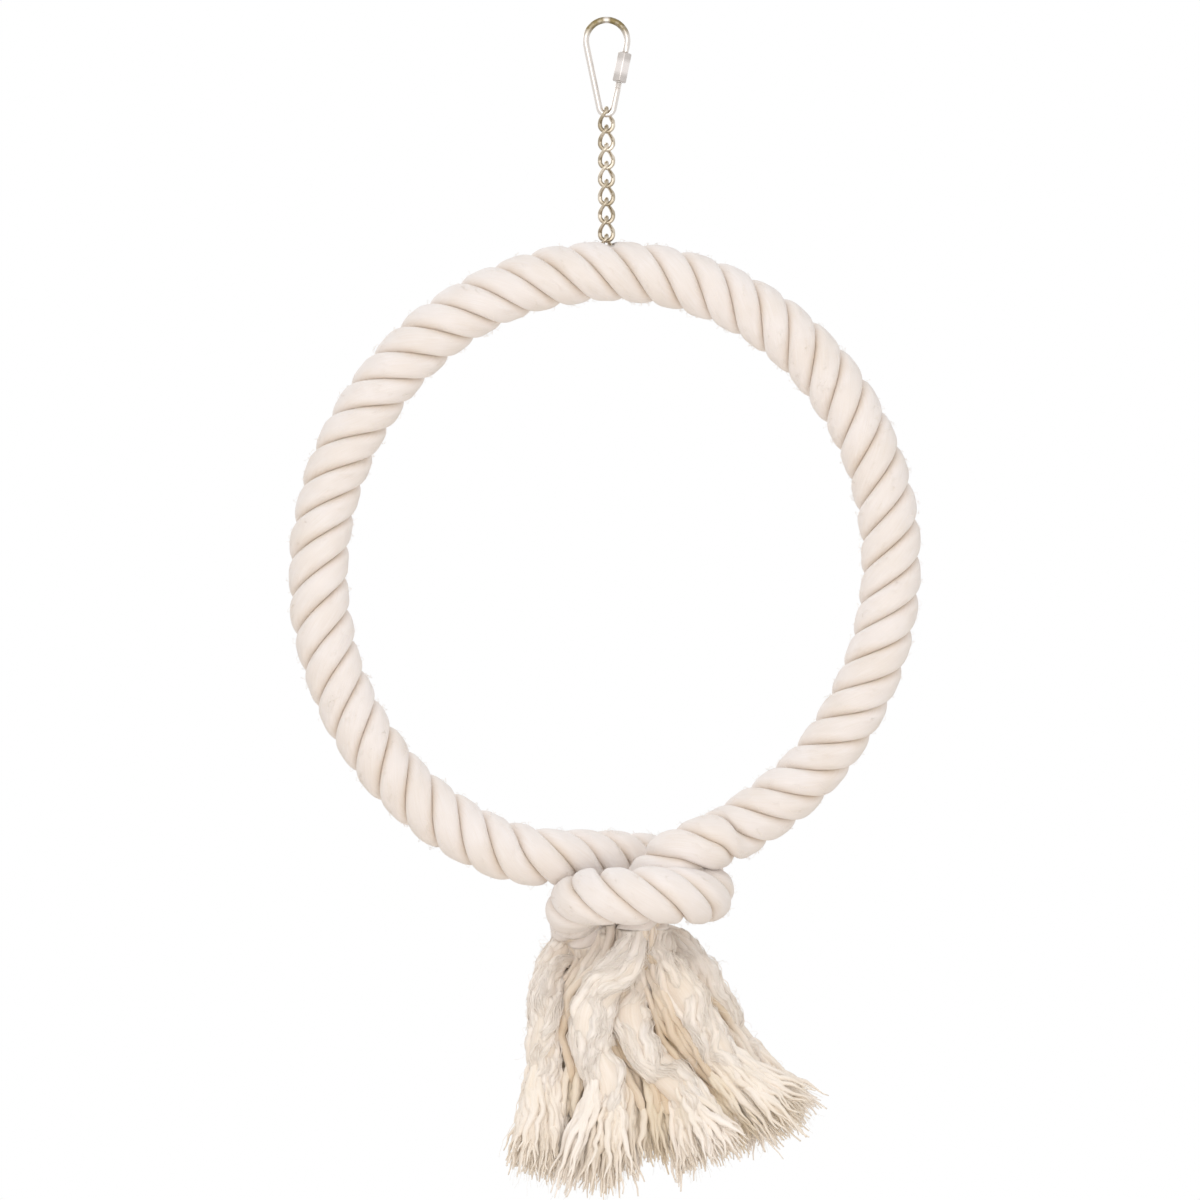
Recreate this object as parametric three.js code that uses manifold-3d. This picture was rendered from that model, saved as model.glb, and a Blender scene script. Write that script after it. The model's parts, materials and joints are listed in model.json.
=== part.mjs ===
// Bird rope ring: a three-strand cotton rope laid round a stiff wire, bent into a ring and knotted at the
// bottom, where its strands hang loose. It hangs by a twist-link chain from a pear-shaped screw link.
// Millimetres and degrees, +Z up. The ring lies in the XZ plane, seen from -Y in the front view.
// The origin is where the screw link hangs: the inside of its crown.

import * as THREE from "three";
import { mergeVertices } from "three/addons/utils/BufferGeometryUtils.js";
import Module from "manifold-3d";

const wasm = await Module();
wasm.setup();

// Screw link: a bent rod with a gate in its right leg, and the nut that closes the gate.
const ROD_DIAMETER = 3.1;
const CROWN_RADIUS = 9.9; // of the rod's centreline at the wide upper bend
const TIP_RADIUS = 3.4; // of the rod's centreline at the narrow lower bend
const BEND_SPACING = 31.8; // between the centres of the two bends
const GATE_OPENING = 5.5; // between the rod's two ends, along the leg
const NUT_LENGTH = 14;
const NUT_ACROSS_FLATS = 6.4;
const NUT_BORE_CLEARANCE = 0.35; // all round the rod
const NUT_CHAMFER = 0.7;
const NUT_BELOW_CROWN = 4; // along the leg, from the end of the upper bend

// Chain: identical links, each twisted a quarter turn, and one flat link that anchors it to the core.
const TWISTED_LINKS = 8;
const LINK_WIRE = 2.1;
const LINK_OPENING = 9; // inside length
const LINK_PLAY = 0.8; // inside width left beside the thickest rod that a link holds
const LINK_TWIST = 90;
const SEAT_GAP = 0.3; // left between pieces that bear on each other

// Ring: the rope's centreline is a circle pulled slightly oval, round a wire core.
const RING_RADIUS = 139.5;
const RING_OVALITY = 3.15; // added to the radius along the long axis, taken off across it
const RING_LONG_AXIS = 75; // from +X towards +Z
const RING_OFFSET = -0.8; // of its centre from the chain, along X
const CORE_DIAMETER = 3.4;
const CORE_GAP = 0.35; // between the core and the strands
const CORE_STOP = 6; // degrees of ring left free of wire beside the knot

// Rope: right-hand laid, with a lobe of the rope's section for each strand.
const ROPE_DIAMETER = 28.7;
const STRANDS = 3;
const LAY_LENGTH = 49.5;
const GROOVE_DEPTH = 3.5;
const STRAND_GAP = 0.6; // between facing walls, across the rope
const SHOULDER_RADIUS = 0.97; // of the rope's radius, where a crest begins to round down
const SHOULDER_TURN = 0.6; // of the angle from the crest to the wall
const KNOT_SQUEEZE = 0.85; // of the rope's diameter where it is pulled tight
const TIGHT_WITHIN = 1.3; // rope diameters from the knot's centre
const LOOSE_BEYOND = 2.3;
const CHANNEL_GAP = 0.35; // round the links that sit inside the rope

// The knot's route in rope diameters, from the lowest point of the ring's centreline.
// The left arm passes behind the right one, comes round its right side and across the front as a band,
// and ends behind on the left. The right arm crosses in front and ends inside the band, pointing down.
const LEFT_ARM = [
  [-0.88, 0.07, 0.14],
  [-0.22, 0.38, 0.11],
  [0.45, 0.68, 0.06],
  [1.07, 0.77, -0.07],
  [1.54, 0.47, -0.26],
  [1.68, -0.1, -0.45],
  [1.46, -0.66, -0.55],
  [0.93, -0.99, -0.59],
  [0.31, -1.01, -0.61],
  [-0.25, -0.7, -0.64],
  [-0.5, -0.2, -0.69],
  [-0.48, 0.23, -0.8],
  [-0.43, 0.5, -1.06],
];
const RIGHT_ARM = [
  [2.08, -0.14, 0.56],
  [1.6, -0.37, 0.4],
  [1.11, -0.38, 0.21],
  [0.76, -0.17, -0.12],
  [0.62, 0, -0.55],
  [0.6, 0.03, -1.02],
];
const KNOT_CENTRE = [0.6, 0, -0.5];
const LEFT_LEAVES_RING = -108; // polar angle where the left arm leaves the ring
const RIGHT_LEAVES_RING = -58;
const RING_POINT_STEP = 12;

// Tails: past the knot each arm comes apart into its strands, which hang loose in soft waves and end in
// frayed tufts. Each route starts where its strand leaves the knot, left arm first, in millimetres.
const TAIL_DIAMETER = 13.2;
const TAIL_LEAD = 3; // straight out of the knot
const TUFT_LENGTH = 38;
const TUFT_DIAMETER = 26;
// Down a tuft: share of its length, and share of the way from the tail's radius to the tuft's.
const TUFT_SHAPE = [
  [0, 0],
  [0.25, 0.2],
  [0.6, 0.75],
  [0.9, 1],
  [1, 0.35],
];
const TUFT_HOLLOW = 0.04; // share of its length that the cut end is dished
const TAIL_ROUTES = [
  [
    [-1.5, 2.5, -8],
    [-8.5, -4, -17],
    [-14, -13, -27],
    [-12.5, -20, -43],
    [-12.5, -22, -59],
    [-10.5, -24, -79],
  ],
  [
    [2.5, 6, -10],
    [9.5, 10, -22],
    [18.5, 12, -34],
    [28.5, 12, -46],
    [37.5, 10, -59],
    [42.5, 8, -73],
  ],
  [
    [6.5, 9, -6.5],
    [16.5, 13, -9],
    [30.5, 12, -10],
    [44.5, 6, -12.5],
    [55.5, -2, -18.5],
    [64.5, -7, -28.5],
    [71.5, -5, -43.5],
    [78, 0, -59.5],
    [83, 3, -74.5],
  ],
  [
    [-3.5, -3.5, -13],
    [-12.5, -7.5, -24],
    [-20.5, -8.5, -35],
    [-22.5, -7.5, -48],
    [-18.5, -6.5, -61],
    [-12.5, -7.5, -75],
    [-12.5, -8.5, -87],
  ],
  [
    [0.5, -2.5, -16.5],
    [-0.5, -8.5, -30.5],
    [-1.5, -13.5, -44.5],
    [5.5, -16.5, -58.5],
    [17.5, -18.5, -70.5],
    [27.5, -21, -81],
    [32, -22.5, -90],
  ],
  [
    [4, -4, -14],
    [12, -9, -24],
    [21, -10, -34],
    [29, -9, -46],
    [35, -9, -59],
    [42, -8, -73],
  ],
];

// Facets round and along the bent and turned forms.
const ROD_SIDES = 12;
const BEND_STEP = 13; // degrees
const NUT_SIDES = 24;
const LINK_STEPS = 20;
const WIRE_SIDES = 6;
const CORE_STEPS = 72;
const STEPS_PER_LAY = 8;
const CHANNEL_SIDES = 10;
const TAIL_STEPS = 12;
const TAIL_SIDES = 8;
const TUFT_SIDES = 10;
const CURVE_DIVISIONS = 2000; // for lengths along the rope

const COTTON = { color: 0xefe6dc, roughness: 0.95, metalness: 0 };
const FRAYED_COTTON = { color: 0xeadfcd, roughness: 1, metalness: 0 };
const NICKEL = { color: 0xb3a58a, roughness: 0.35, metalness: 1 };
const CORE_STEEL = { color: 0x8f8f8f, roughness: 0.5, metalness: 1 };

const degrees = THREE.MathUtils.degToRad;
const group = new THREE.Group();

function add(name, geometry, finish) {
  const mesh = new THREE.Mesh(geometry, new THREE.MeshStandardMaterial(finish));
  mesh.name = name;
  group.add(mesh);
  return mesh;
}

// A closed solid through a row of rings of points. Each ring runs anticlockwise seen against the direction
// of travel, and outline is that ring in its own plane. The faces along an edge of the outline that
// turnedOver picks are cut along their other diagonal.
function loft(rings, outline, turnedOver = () => false) {
  const size = outline.length;
  const index = [];
  for (let i = 0; i + 1 < rings.length; i++) {
    for (let j = 0; j < size; j++) {
      const a = i * size + j;
      const b = i * size + ((j + 1) % size);
      const c = b + size;
      const d = a + size;
      if (turnedOver(j)) index.push(a, b, d, b, c, d);
      else index.push(a, b, c, a, c, d);
    }
  }
  const last = (rings.length - 1) * size;
  for (const [a, b, c] of THREE.ShapeUtils.triangulateShape(outline, [])) {
    index.push(a, c, b);
    index.push(last + a, last + b, last + c);
  }
  const geometry = new THREE.BufferGeometry();
  geometry.setAttribute(
    "position",
    new THREE.Float32BufferAttribute(rings.flat().flatMap((p) => p.toArray()), 3),
  );
  geometry.setIndex(index);
  return geometry;
}

function solidOf(geometry) {
  const bare = geometry.clone();
  bare.deleteAttribute("normal");
  bare.deleteAttribute("uv");
  const merged = mergeVertices(bare, 1e-4);
  return new wasm.Manifold(
    new wasm.Mesh({
      numProp: 3,
      vertProperties: new Float32Array(merged.attributes.position.array),
      triVerts: new Uint32Array(merged.index.array),
    }),
  );
}

function geometryOf(solid) {
  const mesh = solid.getMesh();
  const geometry = new THREE.BufferGeometry();
  geometry.setAttribute("position", new THREE.BufferAttribute(mesh.vertProperties, 3));
  geometry.setIndex(new THREE.BufferAttribute(mesh.triVerts, 1));
  return geometry;
}

function tubeAlong(curve, steps, diameter, sides) {
  const section = new THREE.Shape().absarc(0, 0, diameter / 2, 0, 2 * Math.PI);
  return new THREE.ExtrudeGeometry(section, { steps, curveSegments: sides / 2, extrudePath: curve });
}

function circleOutline(radius, sides) {
  return Array.from({ length: sides }, (_, i) => {
    const angle = (2 * Math.PI * i) / sides;
    return new THREE.Vector2(radius * Math.cos(angle), radius * Math.sin(angle));
  });
}

// Screw link body: down the right leg below the gate, round the narrow bend, up the left leg, round the
// wide bend and down the right leg to the gate.
const crownHeight = -(CROWN_RADIUS - ROD_DIAMETER / 2);
const tipHeight = crownHeight - BEND_SPACING;
const legLean = Math.asin((CROWN_RADIUS - TIP_RADIUS) / BEND_SPACING);
const gateTop = NUT_BELOW_CROWN + (NUT_LENGTH - GATE_OPENING) / 2;

function pointOnRightLeg(along) {
  return new THREE.Vector3(
    CROWN_RADIUS * Math.cos(legLean) - along * Math.sin(legLean),
    0,
    crownHeight - CROWN_RADIUS * Math.sin(legLean) - along * Math.cos(legLean),
  );
}

function makeLinkBody() {
  const outline = circleOutline(ROD_DIAMETER / 2, ROD_SIDES);
  const rings = [];
  // Outward is the direction from the eye to the rod, as an angle from +X towards +Z.
  const station = (point, outward) => {
    const away = new THREE.Vector3(Math.cos(outward), 0, Math.sin(outward));
    const across = new THREE.Vector3(0, 1, 0);
    rings.push(outline.map((p) => point.clone().addScaledVector(away, p.x).addScaledVector(across, -p.y)));
  };
  const bend = (height, radius, from, to) => {
    const steps = Math.ceil(Math.abs(to - from) / degrees(BEND_STEP));
    for (let i = 0; i <= steps; i++) {
      const angle = THREE.MathUtils.lerp(from, to, i / steps);
      const point = new THREE.Vector3(radius * Math.cos(angle), 0, height + radius * Math.sin(angle));
      station(point, angle);
    }
  };
  station(pointOnRightLeg(gateTop + GATE_OPENING), -legLean);
  bend(tipHeight, TIP_RADIUS, -legLean, -Math.PI + legLean);
  bend(crownHeight, CROWN_RADIUS, -Math.PI + legLean, -2 * Math.PI - legLean);
  station(pointOnRightLeg(gateTop), -legLean);
  return loft(rings, outline);
}
add("quick_link_body", makeLinkBody(), NICKEL);

// Nut: a hexagonal sleeve with chamfered ends, on the leg over the closed gate.
function makeNut() {
  const corner = NUT_ACROSS_FLATS / 2 / Math.cos(Math.PI / 6);
  const hexagon = new THREE.Shape(circleOutline(corner, 6));
  const prism = new THREE.ExtrudeGeometry(hexagon, { depth: NUT_LENGTH, bevelEnabled: false });
  prism.translate(0, 0, -NUT_LENGTH / 2);
  const half = NUT_LENGTH / 2;
  const turned = new THREE.LatheGeometry(
    [
      new THREE.Vector2(0, -half),
      new THREE.Vector2(corner - NUT_CHAMFER, -half),
      new THREE.Vector2(corner, -half + NUT_CHAMFER),
      new THREE.Vector2(corner, half - NUT_CHAMFER),
      new THREE.Vector2(corner - NUT_CHAMFER, half),
      new THREE.Vector2(0, half),
    ],
    NUT_SIDES,
  ).rotateX(Math.PI / 2);
  const bore = new THREE.CylinderGeometry(
    ROD_DIAMETER / 2 + NUT_BORE_CLEARANCE,
    ROD_DIAMETER / 2 + NUT_BORE_CLEARANCE,
    2 * NUT_LENGTH,
    NUT_SIDES,
  ).rotateX(Math.PI / 2);
  return geometryOf(solidOf(prism).intersect(solidOf(turned)).subtract(solidOf(bore)));
}
const nut = add("quick_link_nut", makeNut(), NICKEL);
nut.position.copy(pointOnRightLeg(NUT_BELOW_CROWN + NUT_LENGTH / 2));
nut.rotation.y = legLean;

// Chain link: a flattened loop of wire whose upper bow is turned to the side by the twist.
const linkWidth = Math.max(ROD_DIAMETER, CORE_DIAMETER) + LINK_PLAY + 2 * LINK_WIRE;

class LinkCurve extends THREE.Curve {
  constructor(twist) {
    super();
    this.twist = twist;
  }
  getPoint(t) {
    const bow = (linkWidth - LINK_WIRE) / 2;
    const straight = LINK_OPENING + LINK_WIRE - 2 * bow;
    const loop = 2 * straight + 2 * Math.PI * bow;
    let along = (((t % 1) + 1) % 1) * loop;
    let side;
    let height;
    if (along < straight) {
      side = bow;
      height = along - straight / 2;
    } else if (along < straight + Math.PI * bow) {
      const angle = (along - straight) / bow;
      side = bow * Math.cos(angle);
      height = straight / 2 + bow * Math.sin(angle);
    } else if (along < 2 * straight + Math.PI * bow) {
      side = -bow;
      height = straight / 2 - (along - straight - Math.PI * bow);
    } else {
      const angle = Math.PI + (along - 2 * straight - Math.PI * bow) / bow;
      side = bow * Math.cos(angle);
      height = -straight / 2 + bow * Math.sin(angle);
    }
    const reach = straight / 2 + bow / 2;
    const turn = this.twist * THREE.MathUtils.smoothstep(height, -reach, reach);
    return new THREE.Vector3(side * Math.cos(turn), side * Math.sin(turn), height);
  }
}

function makeLink(twist) {
  return new THREE.TubeGeometry(new LinkCurve(degrees(twist)), LINK_STEPS, LINK_WIRE / 2, WIRE_SIDES, true);
}

const linkPitch = LINK_OPENING - SEAT_GAP;
const firstLinkHeight = tipHeight - (TIP_RADIUS - ROD_DIAMETER / 2) - LINK_OPENING / 2 + SEAT_GAP;
for (let i = 0; i < TWISTED_LINKS; i++) {
  const link = add(`chain_link_${i + 1}`, makeLink(LINK_TWIST), NICKEL);
  link.position.z = firstLinkHeight - i * linkPitch;
}
const anchor = add("anchor_link", makeLink(0), NICKEL);
anchor.position.z = firstLinkHeight - TWISTED_LINKS * linkPitch;
anchor.rotation.z = degrees(LINK_TWIST);

// The core hangs in the anchor link, which sets the height of the ring.
const coreTop = anchor.position.z - LINK_OPENING / 2 + SEAT_GAP + CORE_DIAMETER / 2;

function ringRadiusAt(angle) {
  return RING_RADIUS + RING_OVALITY * Math.cos(2 * (angle - degrees(RING_LONG_AXIS)));
}
const ringHeight = coreTop - ringRadiusAt(Math.PI / 2);

function ringPoint(angle) {
  const radius = ringRadiusAt(angle);
  return new THREE.Vector3(
    RING_OFFSET + radius * Math.cos(angle),
    0,
    ringHeight + radius * Math.sin(angle),
  );
}

const knotOrigin = ringPoint(-Math.PI / 2).setX(RING_OFFSET);
function knotPoint([x, y, z]) {
  return new THREE.Vector3(x, y, z).multiplyScalar(ROPE_DIAMETER).add(knotOrigin);
}

// Rope centreline: from the left arm's end back through the knot, clockwise round the ring, and through the
// knot again to the right arm's end.
const routePoints = [...LEFT_ARM].reverse().map(knotPoint);
for (let angle = LEFT_LEAVES_RING; angle >= RIGHT_LEAVES_RING - 360; angle -= RING_POINT_STEP) {
  routePoints.push(ringPoint(degrees(angle)));
}
routePoints.push(...RIGHT_ARM.map(knotPoint));
const centreline = new THREE.CatmullRomCurve3(routePoints, false, "centripetal");
centreline.arcLengthDivisions = CURVE_DIVISIONS;
const ropeLength = centreline.getLength();

// How far along the rope, from 0 to 1, its centreline passes a polar angle of the ring.
function alongAtAngle(angle) {
  const target = ringPoint(angle);
  let best = 0;
  for (let i = 0; i <= CURVE_DIVISIONS; i++) {
    const u = i / CURVE_DIVISIONS;
    const closer = centreline.getPointAt(u).distanceTo(target) < centreline.getPointAt(best).distanceTo(target);
    if (closer) best = u;
  }
  return best;
}
const chainAlong = alongAtAngle(Math.PI / 2);

// Core: a wire along the middle of the rope, stopping short of the knot at both ends.
class StretchOfCurve extends THREE.Curve {
  constructor(curve, from, to) {
    super();
    Object.assign(this, { curve, from, to });
  }
  getPoint(t) {
    return this.curve.getPointAt(THREE.MathUtils.lerp(this.from, this.to, t));
  }
}
const coreCurve = new StretchOfCurve(
  centreline,
  alongAtAngle(degrees(LEFT_LEAVES_RING - CORE_STOP)),
  alongAtAngle(degrees(RIGHT_LEAVES_RING + CORE_STOP)),
);
add("core_wire", tubeAlong(coreCurve, CORE_STEPS, CORE_DIAMETER, WIRE_SIDES), CORE_STEEL);

// Strand section: a sector with its apex cut back for the core, straight walls facing its neighbours, and a
// crest that rounds down into the grooves. The first coordinate points from the rope's middle to the crest.
function strandOutline() {
  const radius = ROPE_DIAMETER / 2;
  const sector = Math.PI / STRANDS;
  const halfStep = Math.PI / STEPS_PER_LAY;
  const apex = (CORE_DIAMETER / 2 + CORE_GAP) / Math.cos(sector / 2) / Math.cos(halfStep);
  const wall = radius - GROOVE_DEPTH;
  const polar = (r, angle) => new THREE.Vector2(r * Math.cos(angle), r * Math.sin(angle));
  const besideWall = (r) => sector - Math.asin(STRAND_GAP / 2 / r);
  const half = [
    polar(apex, -besideWall(apex)),
    polar(wall, -besideWall(wall)),
    polar(SHOULDER_RADIUS * radius, -SHOULDER_TURN * sector),
  ];
  const mirrored = half.map((p) => new THREE.Vector2(p.x, -p.y)).reverse();
  return [polar(apex, 0), ...half, polar(radius, 0), ...mirrored];
}

const strandSteps = Math.round((ropeLength / LAY_LENGTH) * STEPS_PER_LAY);
const strandFrames = centreline.computeFrenetFrames(strandSteps, false);
const knotCentre = knotPoint(KNOT_CENTRE);

// The lay is turned so that a groove faces straight up under the chain.
const chainStep = Math.round(chainAlong * strandSteps);
const outAngle = Math.atan2(strandFrames.binormals[chainStep].z, strandFrames.normals[chainStep].z);

// The rope's frame at a step: its middle, the direction of each strand's crest, and how far it is squeezed.
function ropeAt(step) {
  const along = step / strandSteps;
  const middle = centreline.getPointAt(along);
  const distance = middle.distanceTo(knotCentre) / ROPE_DIAMETER;
  const loosened = THREE.MathUtils.smoothstep(distance, TIGHT_WITHIN, LOOSE_BEYOND);
  const squeeze = THREE.MathUtils.lerp(KNOT_SQUEEZE, 1, loosened);
  const turn = outAngle + (2 * Math.PI * (along - chainAlong) * ropeLength) / LAY_LENGTH;
  const direction = (strand, offset) => {
    const angle = turn + (2 * Math.PI * (strand + 0.5)) / STRANDS + offset;
    return new THREE.Vector3()
      .addScaledVector(strandFrames.normals[step], Math.cos(angle))
      .addScaledVector(strandFrames.binormals[step], Math.sin(angle));
  };
  return { middle, squeeze, tangent: strandFrames.tangents[step], direction };
}

// Channel for the links inside the rope, from below the anchor link to above the rope.
function makeChannel() {
  const radius = linkWidth / 2 + CHANNEL_GAP;
  const bottom = anchor.position.z - LINK_OPENING / 2 - LINK_WIRE - CHANNEL_GAP;
  const top = coreTop + ROPE_DIAMETER;
  const post = new THREE.CylinderGeometry(radius, radius, top - bottom, CHANNEL_SIDES);
  return solidOf(post.rotateX(Math.PI / 2).translate(0, 0, (top + bottom) / 2));
}

// The crest's faces and the second wall's are turned over: a twisted crest then stays full, and the facing
// walls of two neighbours stay parallel.
const outline = strandOutline();
const turnedOver = (edge) => edge > 1 && edge < outline.length - 1;
const channel = makeChannel();
for (let strand = 0; strand < STRANDS; strand++) {
  const rings = [];
  for (let step = 0; step <= strandSteps; step++) {
    const { middle, squeeze, direction } = ropeAt(step);
    const crest = direction(strand, 0);
    const aside = direction(strand, Math.PI / 2);
    const place = (p) =>
      middle.clone().addScaledVector(crest, p.x * squeeze).addScaledVector(aside, p.y * squeeze);
    rings.push(outline.map(place));
  }
  const solid = solidOf(loft(rings, outline, turnedOver)).subtract(channel);
  add(`rope_strand_${strand + 1}`, geometryOf(solid), COTTON);
}

// Tail: one round strand, straight out of the rope's end face and down its route. The tails of one arm
// start side by side.
const tailRoot = (TAIL_DIAMETER + STRAND_GAP) / 2 / Math.sin(Math.PI / STRANDS);

function tailCurve(step, heading, strand, route) {
  const { middle, direction } = ropeAt(step);
  const root = middle.clone().addScaledVector(direction(strand, 0), tailRoot);
  const points = [
    root.clone().addScaledVector(heading, SEAT_GAP),
    root.clone().addScaledVector(heading, TAIL_LEAD),
    ...route.map((p) => root.clone().add(new THREE.Vector3(...p))),
  ];
  return new THREE.CatmullRomCurve3(points, false, "centripetal");
}

// Tuft: the strand's frayed end, spreading like a brush and cut off roughly level.
function makeTuft() {
  const side = TUFT_SHAPE.map(
    ([down, out]) =>
      new THREE.Vector2(THREE.MathUtils.lerp(TAIL_DIAMETER, TUFT_DIAMETER, out) / 2, -down * TUFT_LENGTH),
  );
  const neck = new THREE.Vector2(0, 0);
  const dish = new THREE.Vector2(0, (TUFT_HOLLOW - 1) * TUFT_LENGTH);
  return new THREE.LatheGeometry([neck, ...side, dish].reverse(), TUFT_SIDES);
}

const hanging = new THREE.Vector3(0, -1, 0); // of the tuft's own profile
TAIL_ROUTES.forEach((route, i) => {
  const onLeftArm = i < STRANDS;
  const step = onLeftArm ? 0 : strandSteps;
  const heading = ropeAt(step).tangent.clone().multiplyScalar(onLeftArm ? -1 : 1);
  const tail = tailCurve(step, heading, i % STRANDS, route);
  add(`tail_strand_${i + 1}`, tubeAlong(tail, TAIL_STEPS, TAIL_DIAMETER, TAIL_SIDES), COTTON);
  const tuft = add(`tail_tuft_${i + 1}`, makeTuft(), FRAYED_COTTON);
  const tip = tail.getTangentAt(1);
  tuft.position.copy(tail.getPointAt(1)).addScaledVector(tip, SEAT_GAP);
  tuft.quaternion.setFromUnitVectors(hanging, tip);
});

export default group;
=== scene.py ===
import json
import math

import bmesh
import bpy
import numpy as np
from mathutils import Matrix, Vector

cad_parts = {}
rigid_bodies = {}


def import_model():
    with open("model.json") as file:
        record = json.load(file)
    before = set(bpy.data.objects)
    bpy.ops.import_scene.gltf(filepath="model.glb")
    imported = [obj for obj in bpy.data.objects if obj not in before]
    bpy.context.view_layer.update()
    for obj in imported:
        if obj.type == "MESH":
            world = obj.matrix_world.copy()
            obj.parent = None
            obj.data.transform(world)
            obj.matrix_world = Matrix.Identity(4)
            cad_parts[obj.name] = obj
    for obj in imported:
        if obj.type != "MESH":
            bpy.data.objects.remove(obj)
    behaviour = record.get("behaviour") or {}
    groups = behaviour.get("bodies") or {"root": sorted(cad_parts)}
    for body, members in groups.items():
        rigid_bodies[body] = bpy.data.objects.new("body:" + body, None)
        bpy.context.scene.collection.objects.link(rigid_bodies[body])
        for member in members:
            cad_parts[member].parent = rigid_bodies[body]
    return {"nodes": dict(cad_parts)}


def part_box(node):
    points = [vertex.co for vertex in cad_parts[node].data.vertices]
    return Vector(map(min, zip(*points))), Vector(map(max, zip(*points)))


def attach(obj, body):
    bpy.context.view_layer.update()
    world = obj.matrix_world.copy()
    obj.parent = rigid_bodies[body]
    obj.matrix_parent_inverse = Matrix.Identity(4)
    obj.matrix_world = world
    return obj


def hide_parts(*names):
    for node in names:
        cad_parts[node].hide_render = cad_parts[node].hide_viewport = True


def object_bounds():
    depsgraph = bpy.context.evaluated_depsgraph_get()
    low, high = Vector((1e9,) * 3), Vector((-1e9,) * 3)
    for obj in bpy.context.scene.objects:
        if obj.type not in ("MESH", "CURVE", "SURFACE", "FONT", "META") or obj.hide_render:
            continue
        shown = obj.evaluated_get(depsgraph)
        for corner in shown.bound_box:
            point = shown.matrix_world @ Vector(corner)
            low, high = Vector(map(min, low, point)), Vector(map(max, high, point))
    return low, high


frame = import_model()
cad_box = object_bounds()


# Camera
# Level with the middle of the picture and square to the ring, far enough off to show little perspective.
# The picture is 1200 pixels square, and a pixel is 0.478 mm in the plane of the ring.
MM = 0.001
PICTURE_PIXELS = 1200
PIXEL = 0.478 * MM
CROWN_PIXEL = (606.5, 23.2)  # where the picture shows the inside of the screw link's crown
CAMERA_DISTANCE = 2.2
picture_width = PICTURE_PIXELS * PIXEL
camera_x = (PICTURE_PIXELS / 2 - CROWN_PIXEL[0]) * PIXEL
camera_z = -(PICTURE_PIXELS / 2 - CROWN_PIXEL[1]) * PIXEL
bpy.ops.object.camera_add(location=(camera_x, -CAMERA_DISTANCE, camera_z), rotation=(math.pi / 2, 0, 0))
camera = bpy.context.object
camera.data.lens = camera.data.sensor_width * CAMERA_DISTANCE / picture_width
bpy.context.scene.camera = camera


# Route of the rope
# One length of rope, bent into a ring and tied at the bottom. Its two arms cross in the knot: the left
# one passes behind, comes round the right side and across the front, and both ends point down behind it.
RING_RADIUS = 139.5 * MM
RING_OVALITY = 3.15 * MM
RING_LONG_AXIS = math.radians(75)
RING_OFFSET = -0.8 * MM
RING_POINT_STEP = 12
LEFT_LEAVES_RING = -108
RIGHT_LEAVES_RING = -58
ROPE_DIAMETER = 28.7 * MM
LAY_LENGTH = 49.5 * MM
STRANDS = 3
STEPS_PER_LAY = 8
FINE_STEPS = 2000  # that find where the chain meets the rope
STRETCH_POINTS = 80  # of a smooth line, between two given points
KNOT_SQUEEZE = 0.95
TIGHT_WITHIN = 1.3  # rope diameters from the knot's centre
LOOSE_BEYOND = 2.3
CORE_DIAMETER = 3.4 * MM
KNOT_CENTRE = (0.6, 0, -0.5)
# In rope diameters, from the lowest point of the ring's middle line.
LEFT_ARM = [
    (-0.88, 0.07, 0.14), (-0.22, 0.38, 0.11), (0.45, 0.68, 0.06), (1.07, 0.77, -0.07), (1.54, 0.47, -0.26),
    (1.68, -0.1, -0.45), (1.46, -0.66, -0.55), (0.93, -0.99, -0.59), (0.31, -1.01, -0.61),
    (-0.25, -0.7, -0.64), (-0.5, -0.2, -0.69), (-0.48, 0.23, -0.8), (-0.43, 0.5, -1.06),
]
RIGHT_ARM = [
    (2.08, -0.14, 0.56), (1.6, -0.37, 0.4), (1.11, -0.38, 0.21), (0.76, -0.17, -0.12), (0.62, 0, -0.55),
    (0.6, 0.03, -1.02),
]


def smooth_line(points):
    """Points close together on one smooth line through the given ones."""
    given = np.array(points, float)
    given = np.vstack([2 * given[0] - given[1], given, 2 * given[-1] - given[-2]])
    line = []
    for i in range(len(given) - 3):
        p0, p1, p2, p3 = given[i:i + 4]
        d0, d1, d2 = (np.linalg.norm(b - a) ** 0.5 for a, b in ((p0, p1), (p1, p2), (p2, p3)))
        t1 = d1 * ((p1 - p0) / d0 - (p2 - p0) / (d0 + d1) + (p2 - p1) / d1)
        t2 = d1 * ((p2 - p1) / d1 - (p3 - p1) / (d1 + d2) + (p3 - p2) / d2)
        w = np.linspace(0, 1, STRETCH_POINTS, endpoint=False)[:, None]
        line.append(p1 + w * t1 + w**2 * (3 * (p2 - p1) - 2 * t1 - t2) + w**3 * (2 * (p1 - p2) + t1 + t2))
    return np.vstack([*line, given[-2:-1]])


def evenly_along(line, count):
    """That many points at equal distances along a line, and the line's length."""
    far = np.concatenate([[0], np.cumsum(np.linalg.norm(np.diff(line, axis=0), axis=1))])
    wanted = np.linspace(0, far[-1], count)
    return np.stack([np.interp(wanted, far, line[:, k]) for k in range(3)], axis=1), far[-1]


def unit(v):
    return v / np.linalg.norm(v, axis=-1, keepdims=True)


def headings(points):
    return unit(np.gradient(points, axis=-2))


def square_to(v, along):
    """What is left of a vector without its part along a heading."""
    return v - along * np.sum(v * along, axis=-1, keepdims=True)


def carried_along(tangents, first):
    """A direction carried along a line from its start without turning about the line."""
    carried = [unit(first - tangents[0] * (first @ tangents[0]))]
    for before, after in zip(tangents[:-1], tangents[1:]):
        axis = np.cross(before, after)
        side = carried[-1]
        turned = side + np.cross(axis, side) + np.cross(axis, np.cross(axis, side)) / (1 + before @ after)
        carried.append(unit(turned - after * (turned @ after)))
    return np.array(carried)


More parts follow.
